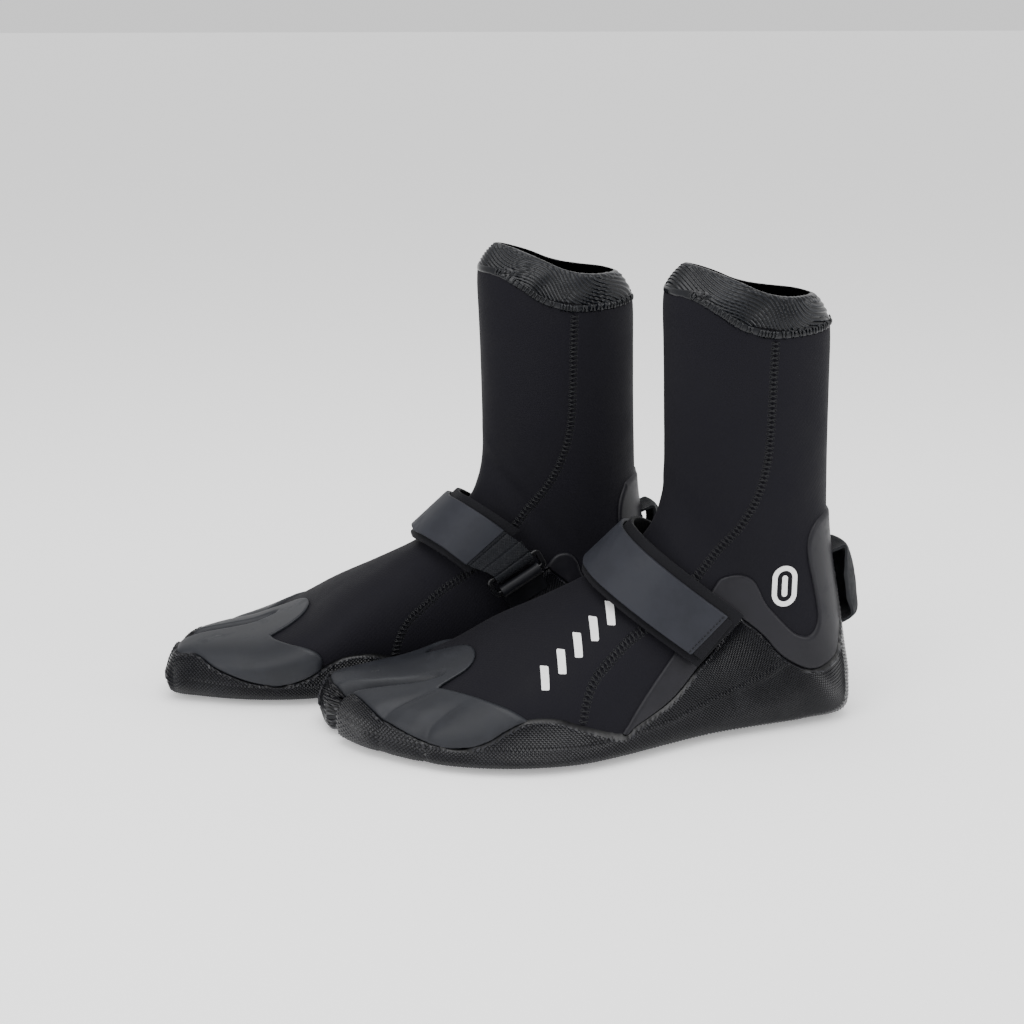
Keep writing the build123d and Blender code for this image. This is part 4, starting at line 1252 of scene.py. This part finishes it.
# Outer and inner face of the tape from the strap's end, round the upper bar and back.
def webbingFaces():
    shares = np.linspace(0.02, 0.98, webbing["cols"])
    lines = strapGrid(3.7, shares, (111.5, 118.5), (142.5, 149.0), 130)
    centre = np.array(ringSizes["centre"]) + upAxis * barOffset
    middle = []
    for share, line in zip(shares, lines):
        end = line[-1]
        way = line[-1] - line[-4]
        way /= np.linalg.norm(way)
        bar = centre + barAxis * (share - 0.5) * ringSizes["width"]
        touch = bar + outAxis * wrapRadius
        pull = np.linalg.norm(touch - end) / 3
        u = np.linspace(0, 1, 40)[:, None]
        low, high = end + way * pull, touch + upAxis * pull
        bend = end * (1 - u) ** 3 + 3 * low * u * (1 - u) ** 2 + 3 * high * u * u * (1 - u) + touch * u ** 3
        a = np.linspace(0, math.pi, 24)[1:, None]
        turn = bar + outAxis * wrapRadius * np.cos(a) - upAxis * wrapRadius * np.sin(a)
        u = np.linspace(0, 1, 10)[1:, None]
        back = turn[-1] + upAxis * webbing["back"] * u + outAxis * webbing["backLift"] * u
        path = np.concatenate([[end - way * webbing["tuck"]], bend, turn, back])
        run = runOf(path)
        fine = np.linspace(0, run[-1], webbing["rows"])
        middle.append(np.stack([np.interp(fine, run, path[:, k]) for k in range(3)], -1))
    middle = np.array(middle)
    out = np.cross(np.gradient(middle, axis=0), np.gradient(middle, axis=1))
    out /= np.linalg.norm(out, axis=2, keepdims=True)
    if out[webbing["cols"] // 2, 20] @ outAxis < 0:
        out = -out
    run = runOf(middle[webbing["cols"] // 2])
    wide = (shares - 0.5) * ringSizes["width"]
    turns = 2 * np.pi / webbing["pitch"]
    wave = np.cos(turns * run)[None] * np.cos(turns * wide)[:, None]
    along = run - webbing["tuck"] - webbing["firstRow"]
    rows = np.clip(np.cos(2 * np.pi * along / webbing["rowPitch"]), 0, 1)[None] ** 10
    face = (webbing["height"] * wave - webbing["sewn"] * rows)[..., None]
    half = ringSizes["ply"] / 2
    return middle + out * (half + face), middle - out * half


for side in sides:
    print("ring and tapes", side)
    piece = slab(side + "_strapWebbing", side, *webbingFaces())
    finish(piece, side, "strap", ["strap_webbing"], looks["webbing"])
    piece = slab(side + "_ringKeeper", side, *keeperFaces())
    finish(piece, side, "boot", ["ring_keeper"], looks["keeper"])
    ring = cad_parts[side + "_ring"]
    for slotItem in ring.material_slots:
        slotItem.material = looks["ring"]

# heel loop
loop = {"path": [(12.6, 95.4), (9.6, 96.4), (6.6, 92.5), (3.6, 84.5), (1.4, 75.0), (-0.2, 64.0), (-0.7, 58.0),
                 (0.8, 55.2), (4.6, 53.0)],
        "topEnd": [(17.5, 93.0), (15.6, 94.2)], "lowEnd": [(7.4, 52.0), (9.0, 51.8)],
        "width": 20.0, "thickness": 1.6, "cols": 27, "weave": 0.12, "pitch": 1.6, "pitchAcross": 1.5,
        "cupHeights": (56.0, 66.0, 80.0, 90.0, 96.0), "cups": (5.0, 8.0, 8.0, 5.0, 2.0),
        "start": (10.5, 75.0), "end": (1.5, 75.0)}
for side in sides:
    print("heel loop", side)
    path = smooth(loop["topEnd"] + loop["path"] + loop["lowEnd"], 7)
    normal = normalsOf(path)
    cols = np.linspace(-0.5, 0.5, loop["cols"]) * loop["width"]
    weave = (loop["weave"] * np.cos(2 * np.pi * runOf(path) / loop["pitch"])[:, None]
             * np.cos(2 * np.pi * cols / loop["pitchAcross"])[None])
    grids = []
    for hand in (1, -1):
        off = hand * (loop["thickness"] / 2 + weave)
        cup = np.interp(path[:, 1], loop["cupHeights"], loop["cups"])[:, None]
        x = path[:, :1] + normal[:, :1] * off + cup * (2 * cols[None] / loop["width"]) ** 2
        z = path[:, 1:] + normal[:, 1:] * off
        grids.append(np.stack([x, np.broadcast_to(cols[None], x.shape), z], -1))
    piece = slab(side + "_heelLoop", side, grids[0], grids[1])
    finish(piece, side, None, ["heel_loop", "heel_loop_ends"], looks["webbing"])
    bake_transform(piece)

# printed marks
marks = {"bars": 5, "lift": 0.12, "thickness": 0.25}


def barsInside(base, t, w):
    x, z = base[..., 0], base[..., 2]
    best = np.full(x.shape, -99.0)
    for k in range(marks["bars"]):
        share = k / (marks["bars"] - 1)
        cx, cz = 187.0 - 40.0 * share, 45.5 + 25.5 * share
        box = [(cx - 1.0, cz - 4.5), (cx + 3.0, cz - 4.5), (cx + 1.5, cz + 4.5), (cx - 2.5, cz + 4.5)]
        best = np.maximum(best, within(x, z, box))
    return np.where(w > 0, best, -99.0)


def ovalInside(base, t, w):
    x, z = base[..., 0] - 53.0, base[..., 2] - 83.0
    away = np.hypot(x, z - np.clip(z, -4.5, 4.5))
    return np.where(w > 0, np.maximum(1.35 - np.abs(away - 5.6), 1.5 - away), -99.0)


for side in sides:
    print("marks", side)
    low, high = marks["lift"], marks["lift"] + marks["thickness"]
    piece = shell(side + "_vampPrint", side, evenStations(7.5, 12.5, 0.8), np.linspace(0.35, 0.98, 240)[None],
                  barsInside, even(high), even(low - 0.3))
    finish(piece, side, "boot", ["vamp_print"], looks["print"])
    piece = shell(side + "_anklePrint", side, evenStations(12, 20, 0.8), np.linspace(0.2, 0.8, 200)[None],
                  ovalInside, even(high), even(low - 0.3))
    finish(piece, side, "boot", ["ankle_print"], looks["print"])

# floor, light and camera
print("stage")
bpy.ops.object.select_all(action="DESELECT")
bpy.ops.mesh.primitive_plane_add(size=60.0, location=(0.0, 0.0, -0.0005))
floor = bpy.context.object
floor.name = "floor"
floorLook = bpy.data.materials.new("paleFloor")
floorLook.use_nodes = True
floorValues = {"Base Color": (0.94, 0.94, 0.94, 1), "Roughness": 0.9, "Emission Color": (1, 1, 1, 1),
               "Emission Strength": 0.3}
for label, value in floorValues.items():
    floorLook.node_tree.nodes["Principled BSDF"].inputs[label].default_value = value
floor.data.materials.append(floorLook)

world = bpy.data.worlds.new("softRoom")
world.use_nodes = True
world.node_tree.nodes["Background"].inputs[0].default_value = (1.0, 1.0, 1.0, 1)
world.node_tree.nodes["Background"].inputs[1].default_value = 1.0
bpy.context.scene.world = world


def areaLight(name, place, target, size, power):
    bpy.ops.object.light_add(type="AREA", location=place)
    lamp = bpy.context.object
    lamp.name = name
    lamp.data.shape = "RECTANGLE"
    lamp.data.size, lamp.data.size_y = size
    lamp.data.energy = power
    aim = Vector(target) - Vector(place)
    lamp.rotation_euler = aim.to_track_quat("-Z", "Y").to_euler()


areaLight("topSoftbox", (0.3, -0.1, 1.3), (0.0, 0.0, 0.05), (1.0, 1.2), 16)
areaLight("toeSideSoftbox", (0.9, -1.1, 0.8), (0.0, -0.05, 0.1), (0.7, 0.9), 9)
areaLight("heelSideSoftbox", (0.5, 1.2, 0.7), (0.0, 0.0, 0.1), (0.5, 0.9), 7)

view = {"place": (0.9170, -0.1673, 0.3803), "toward": (-0.94363, 0.17637, -0.28006), "lens": 60.58}
bpy.ops.object.camera_add(location=view["place"])
camera = bpy.context.object
camera.name = "photoCamera"
camera.rotation_euler = Vector(view["toward"]).to_track_quat("-Z", "Y").to_euler()
camera.data.lens = view["lens"]
camera.data.sensor_width = 36.0
camera.data.clip_start = 0.01
bpy.context.scene.camera = camera
